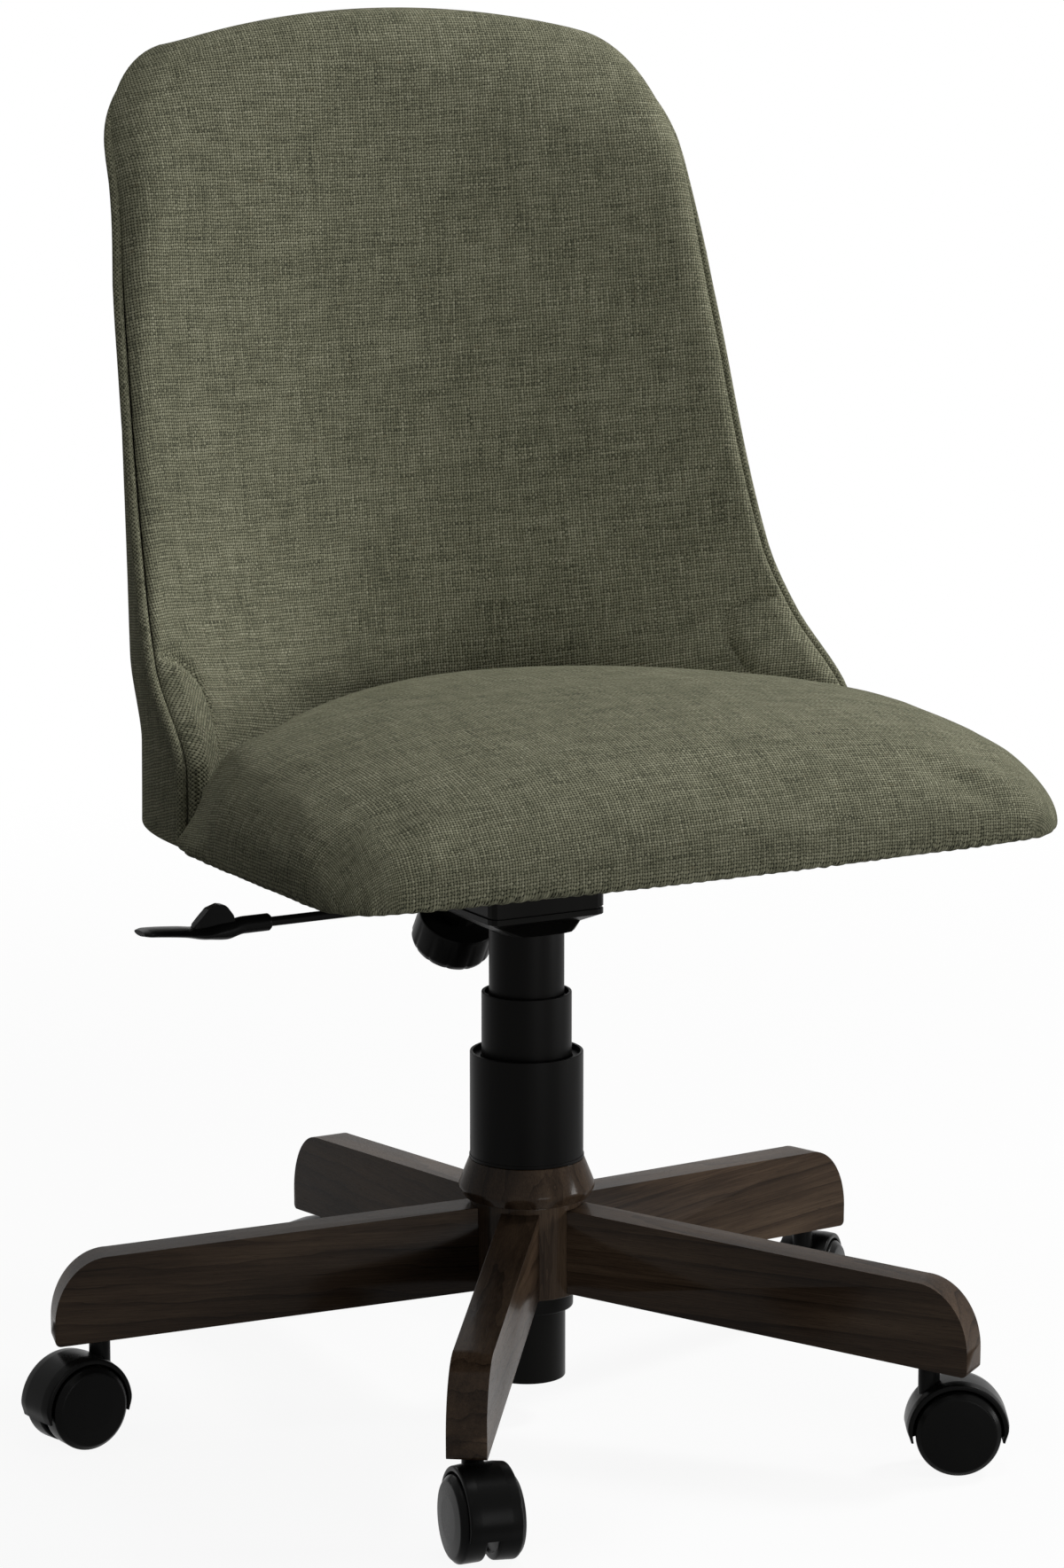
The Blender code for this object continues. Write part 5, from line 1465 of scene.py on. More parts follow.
@dataclass(frozen=True)
class Dart:
    """The sewn pleat low on one side of the back's front, and the soft lobe that it holds below it."""

    reach: Stations = ((0.400, 0.036), (0.430, 0.042), (0.455, 0.048), (0.470, 0.050), (0.484, 0.047),
                       (0.495, 0.038), (0.503, 0.024), (0.508, 0.008), (0.511, -0.012))
    shift: float = -0.003
    bias: float = 40.0
    groove_depth: float = 0.0048
    groove_half: float = 0.0026
    lobe_height: float = 0.0065
    lobe_rise: float = 0.013
    above: float = 0.02
    slope_step: float = 0.001
    groove_start: Point2 = (0.0, 0.008)
    lobe_start: Point2 = (0.001, 0.014)
    lobe_overlap: float = 0.0005

    def inside(self, arc: float, z: float) -> float:
        """Measure how far a point lies inside the pleat's line.

        Args:
            arc: distance from the piping along the face.
            z: height.

        Returns:
            The distance, which is negative outside the lobe.
        """
        if z > self.reach[-1][0] + self.above:
            return -1.0
        reach = between(z, self.reach) + self.shift
        ahead, behind = (between(z + move, self.reach) for move in (self.slope_step, -self.slope_step))
        slope = (ahead - behind) / (2 * self.slope_step)
        return (reach - arc) / math.hypot(1.0, slope)

    def lift(self, arc: float, z: float) -> float:
        """Return how far the pleat and lobe move the front face outwards.

        Args:
            arc: distance from the piping along the face.
            z: height.

        Returns:
            The move along the face's normal.
        """
        inside = self.inside(arc, z)
        groove = -self.groove_depth * math.exp(-(inside / self.groove_half) ** 2)
        lobe = self.lobe_height * smooth_step(inside, -self.lobe_overlap, self.lobe_rise)
        return groove * smooth_step(arc, *self.groove_start) + lobe * smooth_step(arc, *self.lobe_start)


@dataclass(frozen=True)
class Back:
    """The upholstered back: front padding, outer panel and piping."""

    form: BackForm = BackForm()
    darts: tuple[Dart, Dart] = (Dart(), Dart(shift=0.010, bias=6.0, lobe_height=0.0030, groove_depth=0.0028))
    pad_bottom: float = 0.4125
    panel_bottom: float = 0.397
    spacing: float = 0.0055
    columns: int = 46
    pad_spacing: float = 0.0036
    pad_columns: int = 84
    cloth_up: float = 0.9
    roll_shares: tuple[float, ...] = (0.10, 0.25, 0.45, 0.70)
    roll_run: float = 0.012
    piping_sides: int = 18

    def layer_mesh(self, name: str, bottom: float, near: Layer, far: Layer) -> bpy.types.Mesh:
        """Return a layer of the back as a closed mesh, with its cloth laid on.

        Args:
            name: the mesh's name.
            bottom: its lowest height.
            near: its front face.
            far: its rear face.

        Returns:
            The mesh about the column's axis.
        """
        sink_near = self.form.top_sink if near is Layer.FRONT else self.form.inner_sink
        sink_far = self.form.top_sink if far is Layer.REAR else self.form.inner_sink
        padding = near is Layer.FRONT
        spacing, columns = (self.pad_spacing, self.pad_columns) if padding else (self.spacing, self.columns)
        near_rows = self.form.rows(bottom, sink_near, spacing)
        far_rows = self.form.rows(bottom, sink_far, spacing)
        rings, arcs, runs = [], [], []
        for (near_z, angle), (far_z, _) in zip(near_rows, far_rows):
            ring = self._row(((near_z, near), (far_z, far)), angle, columns)
            rings.append([p for p, _ in ring])
            arcs.extend(a for _, a in ring)
            below = zip(runs[-len(ring):], rings[-2]) if runs else ((0.0, p) for p, _ in ring)
            runs.extend([run + (p - last).length for (run, last), (p, _) in zip(list(below), ring)])
        per_ring = len(rings[0])
        ends = runs[-per_ring:]
        runs = [run - ends[i % per_ring] for i, run in enumerate(runs)]
        if padding:
            self._roll_over(rings, arcs, runs)
        mesh = mesh_of(name, loft(rings))
        if padding:
            self._press_darts(mesh, arcs, per_ring)

        def cloth_at(face: int, vertex: int) -> Point2:
            """Find a place on the cloth. The lobes below the pleats are cut on the bias.

            Args:
                face: number of the face.
                vertex: number of its vertex.

            Returns:
                The place, in metres.
            """
            u, v = arcs[vertex][0], runs[vertex] + self.cloth_up
            centre = mesh.polygons[face].center
            corner = min(arcs[i][1] for i in mesh.polygons[face].vertices)
            dart = self.darts[centre.x > 0]
            if padding and dart.inside(corner, centre.z) > 0.0:
                turn = math.radians(dart.bias if centre.x > 0 else -dart.bias)
                return (u * math.cos(turn) - v * math.sin(turn), u * math.sin(turn) + v * math.cos(turn))
            return (u, v)

        set_weave(mesh, cloth_at)
        return mesh

    def _row(self, faces: Sequence[tuple[float, Layer]], angle: float,
             columns: int) -> list[tuple[Vector, Point2]]:
        """Draw one row's loop: along its front face, and back along its rear face.

        Args:
            faces: (height, layer) of both faces, front first.
            angle: how far the row has turned over the top edge, in radians.
            columns: points from the piping to the middle.

        Returns:
            Each point with its distance along the face, signed from the middle and plain from the edge.
        """
        lines = []
        for z, layer in faces:
            line = self.form.line(z, layer, angle, columns)
            points = [Vector((x, y, z - self.form.arch_drop(x, z))) for x, y in line]
            lines.append([self.form.crested(p, angle) for p in points] if layer is Layer.FRONT else points)
        ring = []
        for line in lines:
            whole = line + [Vector((-p.x, p.y, p.z)) for p in line[-2::-1]]
            lengths = [0.0]
            for a, b in zip(whole, whole[1:]):
                lengths.append(lengths[-1] + (b - a).length)
            half = lengths[len(line) - 1]
            order = list(zip(whole, [(half - s, min(s, 2 * half - s)) for s in lengths]))
            ring.extend(order if line is lines[0] else order[::-1])
        return ring

    def _roll_over(self, rings: list[list[Vector]], arcs: list[Point2], runs: list[float]) -> None:
        """Add rows that round the padding's crest off behind, down to the piping's seam.

        Args:
            rings: the rows so far, front half first, then the rear half backwards.
            arcs: signed and plain distances along each row, by vertex.
            runs: distance up the cloth, by vertex.
        """
        last = rings[-1]
        count = len(last)
        half = count // 2
        for share in self.roll_shares:
            fall = 1 - math.sqrt(1 - share ** 2)
            ring = list(last)
            for i in range(half):
                front, rear = last[i], last[count - 1 - i]
                ring[i] = Vector((front.x + (rear.x - front.x) * share, front.y + (rear.y - front.y) * share,
                                  front.z + (rear.z - front.z) * fall))
            rings.append(ring)
            arcs.extend(arcs[-count:])
            runs.extend(run + self.roll_run * share for run in runs[-count:])

    def _press_darts(self, mesh: bpy.types.Mesh, arcs: list[Point2], per_ring: int) -> None:
        """Sew the pleats and raise the lobes on the front face.

        Args:
            mesh: the padding.
            arcs: signed and plain distances along each row, by vertex.
            per_ring: vertices in each row's loop.
        """
        normals = [n.vector.copy() for n in mesh.vertex_normals]
        front = 2 * self.pad_columns - 1
        for vertex in mesh.vertices:
            if vertex.index % per_ring < front:
                dart = self.darts[vertex.co.x > 0]
                vertex.co += normals[vertex.index] * dart.lift(arcs[vertex.index][1], vertex.co.z)

    def piping_mesh(self) -> bpy.types.Mesh:
        """Make the welt cord, with its cloth on the bias.

        Returns:
            The mesh about the column's axis.
        """
        sides = self.piping_sides
        line = self.form.edge_line(self.panel_bottom + self.form.piping_radius)
        rings, runs = [], []
        run = 0.0
        side = Vector((0.0, -1.0, 0.0))
        for i, point in enumerate(line):
            ahead = (line[min(i + 1, len(line) - 1)] - line[max(i - 1, 0)]).normalized()
            side = (side - ahead * side.dot(ahead)).normalized()
            up = ahead.cross(side)
            if i:
                run += (point - line[i - 1]).length
            rings.append([point + (side * math.cos(TURN * k / sides) + up * math.sin(TURN * k / sides))
                          * self.form.piping_radius for k in range(sides)])
            runs.append(run)
        mesh = mesh_of("piping", loft(rings))
        radius = self.form.piping_radius

        def cloth_at(face: int, vertex: int) -> Point2:
            """Find a place on the cloth, turned by 45 degrees.

            Args:
                face: number of the face.
                vertex: number of its vertex.

            Returns:
                The place, in metres.
            """
            row, k = divmod(vertex, sides)
            places = [i % sides for i in mesh.polygons[face].vertices]
            if k == 0 and max(places) == sides - 1:
                k = sides
            u, v = runs[row], TURN * radius * k / sides
            return ((u + v) * math.sqrt(0.5), (v - u) * math.sqrt(0.5))

        set_weave(mesh, cloth_at)
        return mesh

    def build(self, axis: Axis, finishes: Finishes) -> None:
        """Make the padding, the outer panel and the piping.

        Args:
            axis: the column's place.
            finishes: the materials.
        """
        pad = self.layer_mesh("back_pad", self.pad_bottom, Layer.FRONT, Layer.PAD_REAR)
        panel = self.layer_mesh("back_outer", self.panel_bottom, Layer.PANEL_FRONT, Layer.REAR)
        for name, mesh, node, fill in (("back_pad", pad, "back_cushion", 0.8),
                                       ("back_outer", panel, "back_panel", 0.3),
                                       ("back_welt", self.piping_mesh(), "back_piping", None)):
            mesh.transform(axis.matrix())
            piece = show(name, mesh, finishes.cloth, "seat", Slot.FABRIC, [node], 70.0)


@dataclass(frozen=True)
class SeatForm:
    """Shape of the seat cushion: drawn in below, rolled over at the edge and softly crowned."""

    bottom: float = 0.397
    half: float = 0.2515
    front: float = 0.236
    front_bow: float = 0.008
    corner: float = 0.032
    corner_rise: float = 0.042
    bulge: float = 0.0115
    bulge_z: float = 0.014
    edge_z: float = 0.059
    crown: float = 0.090
    side_end: float = -0.0050
    wing_end: float = -0.0125
    wing_tuck: float = 0.003
    rear_tuck: float = 0.006
    crown_y: float = -0.030
    crown_front: float = 0.226
    crown_back: float = 0.172
    crown_start: float = 0.006
    rear_rise: float = 0.008
    corner_drop: float = 0.009
    middle_y: float = -0.045
    oval: Point2 = (0.235, 0.185)
    crown_rings: int = 34
    hidden_recess: float = 0.010
    hem: float = 0.022
    waist: float = 0.019
    lobe_room: float = 0.004
    lobe_span: Point2 = (0.150, 0.195)
    side_steps: int = 24
    corner_steps: int = 12
    wing_steps: int = 4
    rear_steps: int = 28
    level_steps: int = 4
    side_draw: float = 0.004
    corner_levels: Point2 = (0.008, 0.056)
    waist_along: Point2 = (-0.085, 0.005)
    waist_across: Point2 = (0.185, 0.240)
    waist_levels: Point2 = (0.003, 0.030)
    drop_power: int = 4
    crown_square: float = 3.0
    crown_power: float = 2.8
    crown_round: float = 0.85
    ring_span: Point2 = (-0.070, 0.030)
    rear_span: Point2 = (-0.060, 0.040)

    def outline(self, back: BackForm, grow: float, rise: float = 0.0) -> Outline:
        """Return the cushion's plan, grown outwards from its bottom edge.

        Args:
            back: the back that it is tucked into.
            grow: how far outside the bottom edge.
            rise: how far above the bottom, for corners that are rounder higher up.

        Returns:
            The closed outline.
        """
        half, front = self.half + grow, self.front + grow
        corner = self.corner + max(grow, 0.0) + self.corner_rise * smooth_step(rise, *self.corner_levels)
        straight = half - corner
        right: Outline = []
        for step in range(self.side_steps + 1):
            x = straight * step / self.side_steps
            right.append((x, -front - self.front_bow * (1 - (x / straight) ** 2)))
        for step in range(1, self.corner_steps + 1):
            angle = math.radians(-90 + 90 * step / self.corner_steps)
            right.append((straight + corner * math.cos(angle), -front + corner + corner * math.sin(angle)))
        for step in range(1, self.side_steps + 1):
            t = step / self.side_steps
            right.append((half - self.side_draw * t * t, (-front + corner) * (1 - t) + self.side_end * t))
        level = self.bottom + self.bulge_z
        wing = between(level, back.widths) - back.nose_width
        reach = wing - self.wing_tuck
        shrunk = min(grow, 0.0)
        start = right[-1]
        for step in range(1, self.wing_steps + 1):
            t = step / self.wing_steps
            right.append((start[0] * (1 - t) + reach * t,
                          start[1] * (1 - t) + (self.wing_end + 0.3 * shrunk) * t))
        face, edge = between(level, back.faces), between(level, back.edges) - back.nose_depth
        for step in range(1, self.rear_steps + 1):
            x = reach * (1 - step / self.rear_steps)
            y = face - (face - edge) * back.wrap(x, wing, level) - self.rear_tuck + shrunk
            y -= self.lobe_room * smooth_step(x, *self.lobe_span)
            right.append((x, max(y, self.wing_end)))
        return right + [(-x, y) for x, y in right[-2:0:-1]]

    def waisted(self, x: float, y: float, rise: float) -> float:
        """Return x at this rise above the bottom, drawn in where the back's wings grip the cushion."""
        share = smooth_step(y, *self.waist_along) * smooth_step(abs(x), *self.waist_across)
        return x - math.copysign(self.waist * share * smooth_step(rise, *self.waist_levels), x)

    def dropped(self, x: float, y: float) -> float:
        """Measure how much lower the padding lies near the front corners.

        Args:
            x: place across.
            y: place along, which is negative in front.

        Returns:
            The drop.
        """
        across = min(1.0, abs(x) / (self.half + self.bulge))
        along = min(1.0, max(0.0, -y / (self.front + self.bulge)))
        return self.corner_drop * (across * along) ** self.drop_power

    def crown_height(self, x: float, y: float, ring_out: float) -> float:
        """Work out the height of the cushion's top at a place.

        Args:
            x: place across.
            y: place along.
            ring_out: how far out its ring lies, from 0 to 1 at the rim.

        Returns:
            The height above the floor.
        """
        reach = self.crown_front if y < self.crown_y else self.crown_back
        across = abs(x) / (self.half + self.bulge)
        along = abs(y - self.crown_y) / reach
        out = min(1.0, (across ** self.crown_square + along ** self.crown_square) ** (1 / self.crown_square))
        out += (ring_out - out) * smooth_step(y, *self.ring_span)
        rim = self.edge_z - self.crown_start + self.rear_rise * smooth_step(y, *self.rear_span)
        dome = (1 - out ** self.crown_power) ** self.crown_round
        return self.bottom + rim + (self.crown - rim) * dome - self.dropped(x, y)

    def side_levels(self) -> list[tuple[float, float, float]]:
        """Space rings from the hem to the rolled edge along a smooth curve through a few of them.

        Returns:
            (growth, rise, share of the corner drop) of each ring.
        """
        keys = [Vector(k) for k in (
            (-0.016, -0.0004, 0.0), (-0.012, 0.0, 0.0), (0.003, 0.001, 0.0), (0.009, 0.005, 0.0),
            (self.bulge, self.bulge_z, 0.0), (0.0085, self.edge_z - 0.024, 0.5),
            (-0.004, self.edge_z - 0.004, 1.0), (-0.020, self.edge_z + 0.008, 1.0))]
        levels = []
        for before, start, end, after in zip(keys, keys[1:], keys[2:], keys[3:]):
            for step in range(self.level_steps):
                t = step / self.level_steps
                point = (start * 2 + (end - before) * t + (before * 2 - start * 5 + end * 4 - after) * t * t
                         + (start * 3 - before - end * 3 + after) * t ** 3) / 2
                levels.append(tuple(point))
        levels.append(tuple(keys[-2]))
        return levels

    def rings(self, back: BackForm, inset: float) -> list[list[Vector]]:
        """Return the cushion's rings, from under the seat to the middle of its top.

        Args:
            back: the back that it is tucked into.
            inset: how much smaller it is made, for stuffing to fill out.

        Returns:
            The rings about the column's axis.
        """
        rings = []
        for grow in (-self.hem - 0.004, -self.hem):
            rise = self.hidden_recess if grow < -self.hem else 0.0
            rings.append([Vector((x, y, self.bottom + rise)) for x, y in self.outline(back, grow)])
        for grow, rise, drop in self.side_levels():
            taper = smooth_step(rise, 0.0, 0.012)
            ring = self.outline(back, grow - inset * taper, rise)
            level = self.bottom + rise * (1 - 0.5 * inset / self.edge_z)
            rings.append([Vector((self.waisted(x, y, rise), y, level - drop * self.dropped(x, y)))
                          for x, y in ring])
        edge = self.outline(back, -0.004 - inset, self.edge_z)
        rim = [(self.waisted(x, y, self.edge_z), y) for x, y in edge]
        plain = []
        for x, y in self.outline(back, 0.0):
            angle = math.atan2(y - self.middle_y, x)
            plain.append((self.oval[0] * math.cos(angle), self.middle_y + self.oval[1] * math.sin(angle)))
        for step in range(1, self.crown_rings):
            t = (step / self.crown_rings) ** 0.9
            mix = min(1.0, 1.6 * t)
            ring = []
            for (x, y), (px, py) in zip(rim, plain):
                bx = (x * (1 - mix) + px * mix) * (1 - t)
                by = self.middle_y + (y * (1 - mix) + py * mix - self.middle_y) * (1 - t)
                ring.append(Vector((bx, by, self.crown_height(bx, by, 1 - t) - inset * 0.8)))
            rings.append(ring)
        return rings

    def cloth_place(self, point: Vector) -> Point2:
        """Lay the flat cloth straight over the top and down each side.

        Args:
            point: a point of the cushion.

        Returns:
            Its place on the flat cloth.
        """
        straight_x, straight_y = self.half - self.corner, self.front - self.corner
        dx = max(abs(point.x) - straight_x, 0.0)
        dy = max(-point.y - straight_y, 0.0)
        length = math.hypot(dx, dy)
        fall = max(0.0, self.bottom + self.edge_z + 0.012 - point.z)
        fall = math.hypot(fall, 0.02) - 0.02
        if length < 1e-9:
            return (point.x, point.y)
        return (point.x + math.copysign(dx / length, point.x) * fall, point.y - dy / length * fall)


@dataclass(frozen=True)
class Stuffing:
    """How a closed cover is blown out by its filling."""

    pressure: float = 4.0
    frames: int = 20
    cap: float = 0.024
    tension: float = 15.0
    bending: float = 4.0

    def fill(self, cover: bpy.types.Object, held: Callable[[Vector], float]) -> None:
        """Simulate the cover as cloth under pressure and keep the result in its mesh.

        Args:
            cover: a closed mesh object at the origin.
            held: gives how firmly each point stays, from 0 to 1.
        """
        group = cover.vertex_groups.new(name="held")
        start = [v.co.copy() for v in cover.data.vertices]
        grip = [held(point) for point in start]
        for index, weight in enumerate(grip):
            group.add([index], weight, "REPLACE")
        cloth = cover.modifiers.new("stuffing", "CLOTH")
        settings = cloth.settings
        settings.vertex_group_mass = group.name
        settings.use_pressure = True
        settings.uniform_pressure_force = self.pressure
        settings.effector_weights.gravity = 0.0
        settings.quality = 4
        settings.mass = 0.3
        settings.tension_stiffness = self.tension
        settings.compression_stiffness = self.tension
        settings.bending_stiffness = self.bending
        cloth.collision_settings.use_collision = False
        cloth.point_cache.frame_start = 1
        cloth.point_cache.frame_end = self.frames
        scene = bpy.context.scene
        for number in range(1, self.frames + 1):
            scene.frame_set(number)
        filled = evaluated_mesh(cover, "filled")
        moves = [f.co - s for f, s in zip(filled.vertices, start)]
        cover.modifiers.remove(cloth)
        scene.frame_set(1)
        log.info("stuffing moved the cover by up to %.1f mm, %.1f mm on average",
                 1000 * max(m.length for m in moves), 1000 * sum(m.length for m in moves) / len(moves))
        for vertex, point, move, weight in zip(cover.data.vertices, start, moves, grip):
            length = move.length
            if length > self.cap:
                move = move * (self.cap / length)
            vertex.co = point + move * (1 - weight)
        bpy.data.meshes.remove(filled)


@dataclass(frozen=True)
class Seat:
    """The seat: its stuffed cushion over a board. The tilt plate's bolts and the cover's staples are made by
    Underside.
    """

    form: SeatForm = SeatForm()
    voxel: float = 0.0058
    inset: float = 0.0035
    pucker: float = 0.0006
    pucker_run: float = 0.0095

    def cushion_mesh(self, back: BackForm) -> bpy.types.Mesh:
        """Return the stuffed cushion about the column's axis, with its cloth laid on.

        Args:
            back: the back that it is tucked into.

        Returns:
            The mesh.
        """
        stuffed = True
        shape = mesh_of("cushion_cover", loft(self.form.rings(back, self.inset if stuffed else 0.0)))
        cover = placed("cushion_cover", shape)
        remesh = cover.modifiers.new("even", "REMESH")
        remesh.mode = "VOXEL"
        remesh.voxel_size = self.voxel
        cover.data = evaluated_mesh(cover, "cushion_even")
        cover.modifiers.clear()
        if stuffed:
            Stuffing().fill(cover, self._held)
        relax = cover.modifiers.new("relax", "SMOOTH")
        relax.iterations = 4
        relax.factor = 0.5
        finer = cover.modifiers.new("finer", "SUBSURF")
        finer.levels = finer.render_levels = 1
        mesh = evaluated_mesh(cover, "cushion")
        bpy.data.objects.remove(cover)
        self._pucker(mesh)
        places = [self.form.cloth_place(v.co) for v in mesh.vertices]
        set_weave(mesh, lambda face, vertex: places[vertex])
        return mesh

    def _held(self, point: Vector) -> float:
        """Tell how firmly the cover stays: underneath and where the back grips it.

        Args:
            point: a point of the cover.

        Returns:
            0 where it is free, up to 1 where it is held.
        """
        form = self.form
        under = 1 - smooth_step(point.z, form.bottom + 0.004, form.bottom + 0.016)
        rear = smooth_step(point.y, form.wing_end - 0.040, form.wing_end - 0.004)
        low = 1 - smooth_step(point.z, form.bottom + 0.05, form.bottom + 0.085)
        return max(under, rear * max(low, 0.5))

    def _pucker(self, mesh: bpy.types.Mesh) -> None:
        """Draw small puckers into the bottom edge, where the cloth is pulled under.

        Args:
            mesh: the cushion, which is changed.
        """
        form = self.form
        normals = [n.vector.copy() for n in mesh.vertex_normals]
        for vertex in mesh.vertices:
            rise = vertex.co.z - form.bottom
            share = (1 - smooth_step(rise, 0.004, 0.020)) * smooth_step(rise, -0.004, 0.0015)
            if share <= 0.0:
                continue
            along = vertex.co.x if -vertex.co.y > form.front - form.corner else vertex.co.y
            drift = noise.noise(vertex.co * 22.0) * 3.0
            wave = math.sin(TURN * along / self.pucker_run + drift) * (0.6 + noise.noise(vertex.co * 60.0))
            vertex.co += normals[vertex.index] * (self.pucker * share * wave)

    def build(self, back: BackForm, axis: Axis, finishes: Finishes) -> None:
        """Make the cushion.

        Args:
            back: the back that it is tucked into.
            axis: the column's place.
            finishes: the materials.
        """
        mesh = self.cushion_mesh(back)
        mesh.transform(axis.matrix())
        piece = show("seat_pad", mesh, finishes.cloth, "seat", Slot.FABRIC, ["seat_cushion"], 80.0)


class Pattern(Nodes):
    """A Geometry Nodes tree that puts copies of a small shape on a guide."""

    def __init__(self, name: str, sizes: Sequence[str]) -> None:
        """Make the tree with one Geometry input and a Float input for each named size.

        Args:
            name: the tree's name.
            sizes: names of its size inputs.
        """
        group = bpy.data.node_groups.new(name, "GeometryNodeTree")
        super().__init__(group)
        group.interface.new_socket("Geometry", in_out="INPUT", socket_type="NodeSocketGeometry")
        for size in sizes:
            group.interface.new_socket(size, in_out="INPUT", socket_type="NodeSocketFloat")
        group.interface.new_socket("Geometry", in_out="OUTPUT", socket_type="NodeSocketGeometry")
        entry = self.node("NodeGroupInput").socket.node
        self.guide = Shade(self, entry.outputs["Geometry"])
        self.sizes = {size: Shade(self, entry.outputs[size]) for size in sizes}

    def finish(self, copies: Shade, finish: bpy.types.Material) -> None:
        """Close the tree: real meshes with one material.

        Args:
            copies: the instances.
            finish: their material.
        """
        real = self.node("GeometryNodeRealizeInstances", None, {"Geometry": copies})
        dressed = self.node("GeometryNodeSetMaterial", None, {"Geometry": real, "Material": finish})
        self.node("NodeGroupOutput", None, {"Geometry": dressed})

    def apply(self, guide: bpy.types.Mesh, values: dict[str, float], name: str) -> bpy.types.Mesh:
        """Run the tree on a guide mesh.

        Args:
            guide: the guide.
            values: a value for each named size.
            name: name of the result.

        Returns:
            A plain mesh.
        """
        carrier = placed(name + "_guide", guide)
        modifier = carrier.modifiers.new(name, "NODES")
        modifier.node_group = self.tree
        for item in self.tree.interface.items_tree:
            if item.in_out == "INPUT" and item.name in values:
                modifier[item.identifier] = values[item.name]
        mesh = evaluated_mesh(carrier, name)
        bpy.data.objects.remove(carrier)
        return mesh


@dataclass(frozen=True)
class Underside:
    """What holds the seat together from below: staples round the dust cover, and the plate's bolts."""

    cover_half: float = 0.2215
    cover_front: float = 0.206
    cover_rear: float = -0.040
    cover_corner: float = 0.020
    cover_z: float = 0.3969
    spacing: float = 0.026
    staple: Triple = (0.0105, 0.0012, 0.0006)
    bolt_x: float = 0.060
    bolt_front: float = -0.058
    bolt_back: float = 0.088
    plate_bottom: float = 0.3932
    head_radius: float = 0.0062
    head_depth: float = 0.0034
    washer_radius: float = 0.0085
    washer_depth: float = 0.0012

    def staples(self, finish: bpy.types.Material) -> bpy.types.Mesh:
        """Make the row of staples along the dust cover's front and sides.

        Args:
            finish: their material.

        Returns:
            The mesh about the column's axis.
        """
        tree = Pattern("staple_row", ["Spacing", "Length", "Wire", "Crown"])
        line = tree.node("GeometryNodeMeshToCurve", None, {"Mesh": tree.guide})
        points = tree.node("GeometryNodeResampleCurve", {"mode": "LENGTH"},
                           {"Curve": line, "Length": tree.sizes["Spacing"]})
        size = tree.node("ShaderNodeCombineXYZ", None,
                         {0: tree.sizes["Length"], 1: tree.sizes["Wire"], 2: tree.sizes["Crown"]})
        wire = tree.node("GeometryNodeMeshCube", None, {"Size": size})
        tangent = tree.node("GeometryNodeInputTangent")
        turn = tree.node("FunctionNodeAlignRotationToVector", {"axis": "X"}, {"Vector": tangent})
        tree.finish(tree.node("GeometryNodeInstanceOnPoints", None,
                              {"Points": points, "Instance": wire, "Rotation": turn}), finish)
        corner = self.cover_corner
        outline = fillet([
            (-self.cover_half, self.cover_rear, 0.0), (-self.cover_half, -self.cover_front, corner),
            (self.cover_half, -self.cover_front, corner), (self.cover_half, self.cover_rear, 0.0)], 8)
        guide = bpy.data.meshes.new("staple_line")
        guide.from_pydata([(x, y, self.cover_z) for x, y in outline],
                          [(i, i + 1) for i in range(len(outline) - 1)], [])
        return tree.apply(guide, {"Spacing": self.spacing, "Length": self.staple[0], "Wire": self.staple[1],
                                  "Crown": self.staple[2]}, "staples")

    def bolts(self, finish: bpy.types.Material) -> bpy.types.Mesh:
        """Make the hexagon heads and washers of the four bolts through the tilt plate.

        Args:
            finish: their material.

        Returns:
            The mesh about the column's axis.
        """
        tree = Pattern("bolt_heads", ["Head radius", "Head depth", "Washer radius", "Washer depth"])
        size = tree.sizes
        head = tree.node("GeometryNodeMeshCylinder", None,
                         {"Vertices": 6, "Radius": size["Head radius"], "Depth": size["Head depth"]}, "Mesh")
        washer = tree.node("GeometryNodeMeshCylinder", None,
                           {"Vertices": 32, "Radius": size["Washer radius"],
                            "Depth": size["Washer depth"]}, "Mesh")
        drop = (size["Head depth"] + size["Washer depth"]) * -0.5
        low = tree.node("GeometryNodeTransform", None,
                        {"Geometry": head, "Translation": tree.node("ShaderNodeCombineXYZ", None, {2: drop})})
        both = tree.node("GeometryNodeJoinGeometry", None, {"Geometry": low})
        tree.tree.links.new(washer.socket, both.socket.node.inputs[0])
        tree.finish(tree.node("GeometryNodeInstanceOnPoints", None,
                              {"Points": tree.guide, "Instance": both}), finish)
        z = self.plate_bottom - self.washer_depth / 2
        guide = bpy.data.meshes.new("bolt_points")
        guide.from_pydata([(side * self.bolt_x, y, z) for side in (-1, 1)
                           for y in (self.bolt_front, self.bolt_back)], [], [])
        return tree.apply(guide, {"Head radius": self.head_radius, "Head depth": self.head_depth,
                                  "Washer radius": self.washer_radius, "Washer depth": self.washer_depth},
                          "bolts")

    def build(self, axis: Axis, finishes: Finishes) -> None:
        """Make the staples and the bolts.

        Args:
            axis: the column's place.
            finishes: the materials.
        """
        for name, mesh in (("cover_staples", self.staples(finishes.steel)),
                           ("plate_bolts", self.bolts(finishes.steel))):
            mesh.transform(axis.matrix())
            show(name, mesh, finishes.steel, "seat", Slot.STEEL)


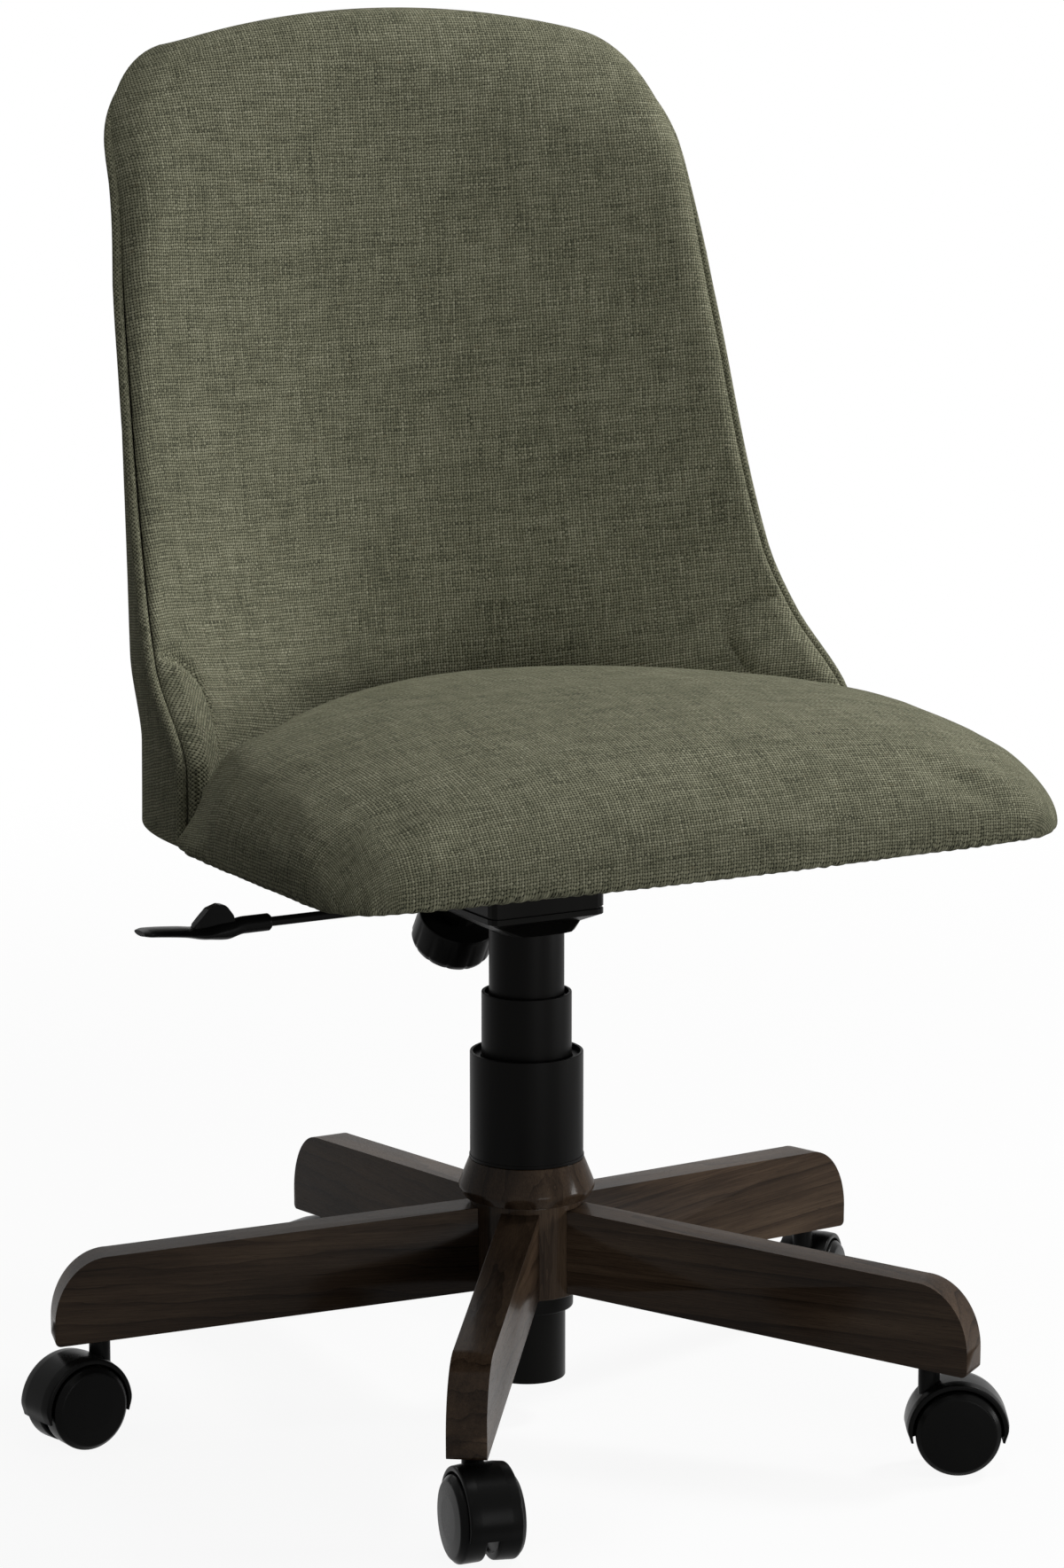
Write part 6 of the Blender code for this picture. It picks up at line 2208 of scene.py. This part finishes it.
@dataclass(frozen=True)
class CarriedNodes:
    """CAD nodes whose own shape is shown, with the finish of their material slot."""

    steel: tuple[str, ...] = ("stem", "axle", "piston", "bearing", "clip", "valve", "pin", "spring", "bolt")
    coated: tuple[str, ...] = ("cylinder", "housing", "plate")
    plies: tuple[str, ...] = ("board", "shell")
    fleece: tuple[str, ...] = ("dust",)

    def dress(self, finishes: Finishes) -> None:
        """Give every node that is still shown its procedural material.

        Args:
            finishes: the materials.
        """
        families = ((self.steel, finishes.steel), (self.coated, finishes.coated),
                    (self.plies, finishes.plies), (self.fleece, finishes.fleece))
        for name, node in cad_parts.items():
            if node.hide_render:
                continue
            finish = next((made for words, made in families if any(word in name for word in words)),
                          finishes.plastic)
            node.data.materials.clear()
            node.data.materials.append(finish)
            log.info("%s: CAD node in %s", name, finish.name)


@dataclass(frozen=True)
class Studio:
    """White studio: a floor that keeps a soft shadow, white surroundings, soft lamps and the camera.

    A lamp is its name, turn from the front towards the right, rise (both in degrees), size and power.
    """

    lens: float = 128.50
    camera_offset: Triple = (-1.7044, -3.0373, 1.0943)
    camera_turn: Triple = (78.956, 0.0, -29.356)
    surround: float = 0.015
    floor_reach: float = 30.0
    floor_share: float = 0.92
    floor_tint: float = 0.95
    floor_bounce: float = 0.16
    lamp_distance: float = 2.5
    lamp_aim: float = 0.5
    lamps: tuple[tuple[str, float, float, float, float], ...] = (
        ("key_high", 90.0, 40.0, 0.6, 41.0), ("key_low", 58.0, 1.0, 0.5, 20.0),
        ("front", 0.0, 1.0, 0.9, 13.0), ("left", -100.0, 45.0, 0.8, 7.5), ("rear", 172.0, 25.0, 0.9, 3.0),
        ("overhead", 20.0, 80.0, 0.5, 12.0), ("glint", -32.0, 42.0, 0.3, 1.6))

    def seen_white(self, paint: Nodes) -> Shade:
        """Find the rays that show the surroundings: from the camera, a gloss or a glass.

        Args:
            paint: the node tree.

        Returns:
            1 for such rays, and 0 for others.
        """
        path = paint.node("ShaderNodeLightPath").socket.node
        camera, glossy, through = (Shade(paint, path.outputs[name]) for name in (
            "Is Camera Ray", "Is Glossy Ray", "Is Transmission Ray"))
        return camera.math("MAXIMUM", camera.math("MAXIMUM", camera, glossy), through)

    def build(self, axis: Axis) -> None:
        """Make the world, floor, lamps and camera.

        Args:
            axis: the column's place.
        """
        self._world()
        self._floor()
        self._lamps(axis)
        scene = bpy.context.scene
        scene.view_settings.view_transform = "Standard"
        data = bpy.data.cameras.new("camera")
        data.lens = self.lens
        data.sensor_width = 36.0
        data.clip_end = 100.0
        camera = placed("camera", data)
        camera.location = Vector((axis.x, axis.y, 0.0)) + Vector(self.camera_offset)
        camera.rotation_euler = tuple(math.radians(a) for a in self.camera_turn)
        scene.camera = camera

    def _world(self) -> None:
        """Light the scene evenly, and show white behind it."""
        world = bpy.data.worlds.new("studio")
        bpy.context.scene.world = world
        world.use_nodes = True
        sky = Nodes(world.node_tree)
        strength = self.seen_white(sky) * (1 - self.surround) + self.surround
        light = sky.node("ShaderNodeBackground", None, {"Color": (1.0, 1.0, 1.0, 1.0), "Strength": strength})
        sky.node("ShaderNodeOutputWorld", None, {"Surface": light})

    def _floor(self) -> None:
        """Lay a white floor that shows mostly its own white, and keeps a soft shadow."""
        mesh = bpy.data.meshes.new("floor")
        reach = self.floor_reach
        corners = ((-reach, -reach), (reach, -reach), (reach, reach), (-reach, reach))
        mesh.from_pydata([(x, y, 0.0) for x, y in corners], [], [(0, 1, 2, 3)])
        paint = Paint("studio_floor")
        seen = self.seen_white(paint)
        place = paint.node("ShaderNodeTexCoord", None, None, "Object")
        away = paint.node("ShaderNodeVectorMath", {"operation": "LENGTH"}, {0: place}, "Value")
        share = away.step_between(0.7, 2.2) * (1 - self.floor_share) + self.floor_share
        tint = seen * (self.floor_tint - self.floor_bounce) + self.floor_bounce
        matt = paint.node("ShaderNodeBsdfDiffuse", None, {"Color": paint.joined(tint, tint, tint)})
        white = paint.node("ShaderNodeEmission", None, {"Color": (1.0, 1.0, 1.0, 1.0), "Strength": 1.0})
        mixed = paint.node("ShaderNodeMixShader", None, {0: seen * share, 1: matt, 2: white})
        paint.node("ShaderNodeOutputMaterial", None, {"Surface": mixed})
        mesh.materials.append(paint.material)
        placed("floor", mesh)

    def _lamps(self, axis: Axis) -> None:
        """Stand the lamps round the chair, all aimed at the same height of its axis.

        Args:
            axis: the column's place.
        """
        centre = Vector((axis.x, axis.y, self.lamp_aim))
        for name, turn, rise, size, power in self.lamps:
            data = bpy.data.lights.new(name, "AREA")
            data.shape = "SQUARE"
            data.size = size
            data.energy = power
            lamp = placed(name, data)
            a, e = math.radians(turn), math.radians(rise)
            aim = Vector((-math.sin(a) * math.cos(e), math.cos(a) * math.cos(e), -math.sin(e)))
            lamp.location = centre - aim * self.lamp_distance
            lamp.rotation_euler = aim.to_track_quat("-Z", "Y").to_euler()


def main() -> None:
    """Build the chair's looks on its frame."""
    logging.basicConfig(level=logging.INFO, format="%(message)s", stream=sys.stdout)
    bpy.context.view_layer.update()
    axis = Axis.of_frame()
    finishes = Finishes()
    base = WoodenBase()
    base.build(axis, finishes)
    Caster().build(axis, base, finishes)
    Column().build(axis, finishes)
    TensionKnob().build(axis, finishes)
    HeightLever().build(axis, finishes)
    back = Back()
    back.build(axis, finishes)
    Seat().build(back.form, axis, finishes)
    Underside().build(axis, finishes)
    CarriedNodes().dress(finishes)
    Studio().build(axis)


if __name__ == "__main__":
    main()
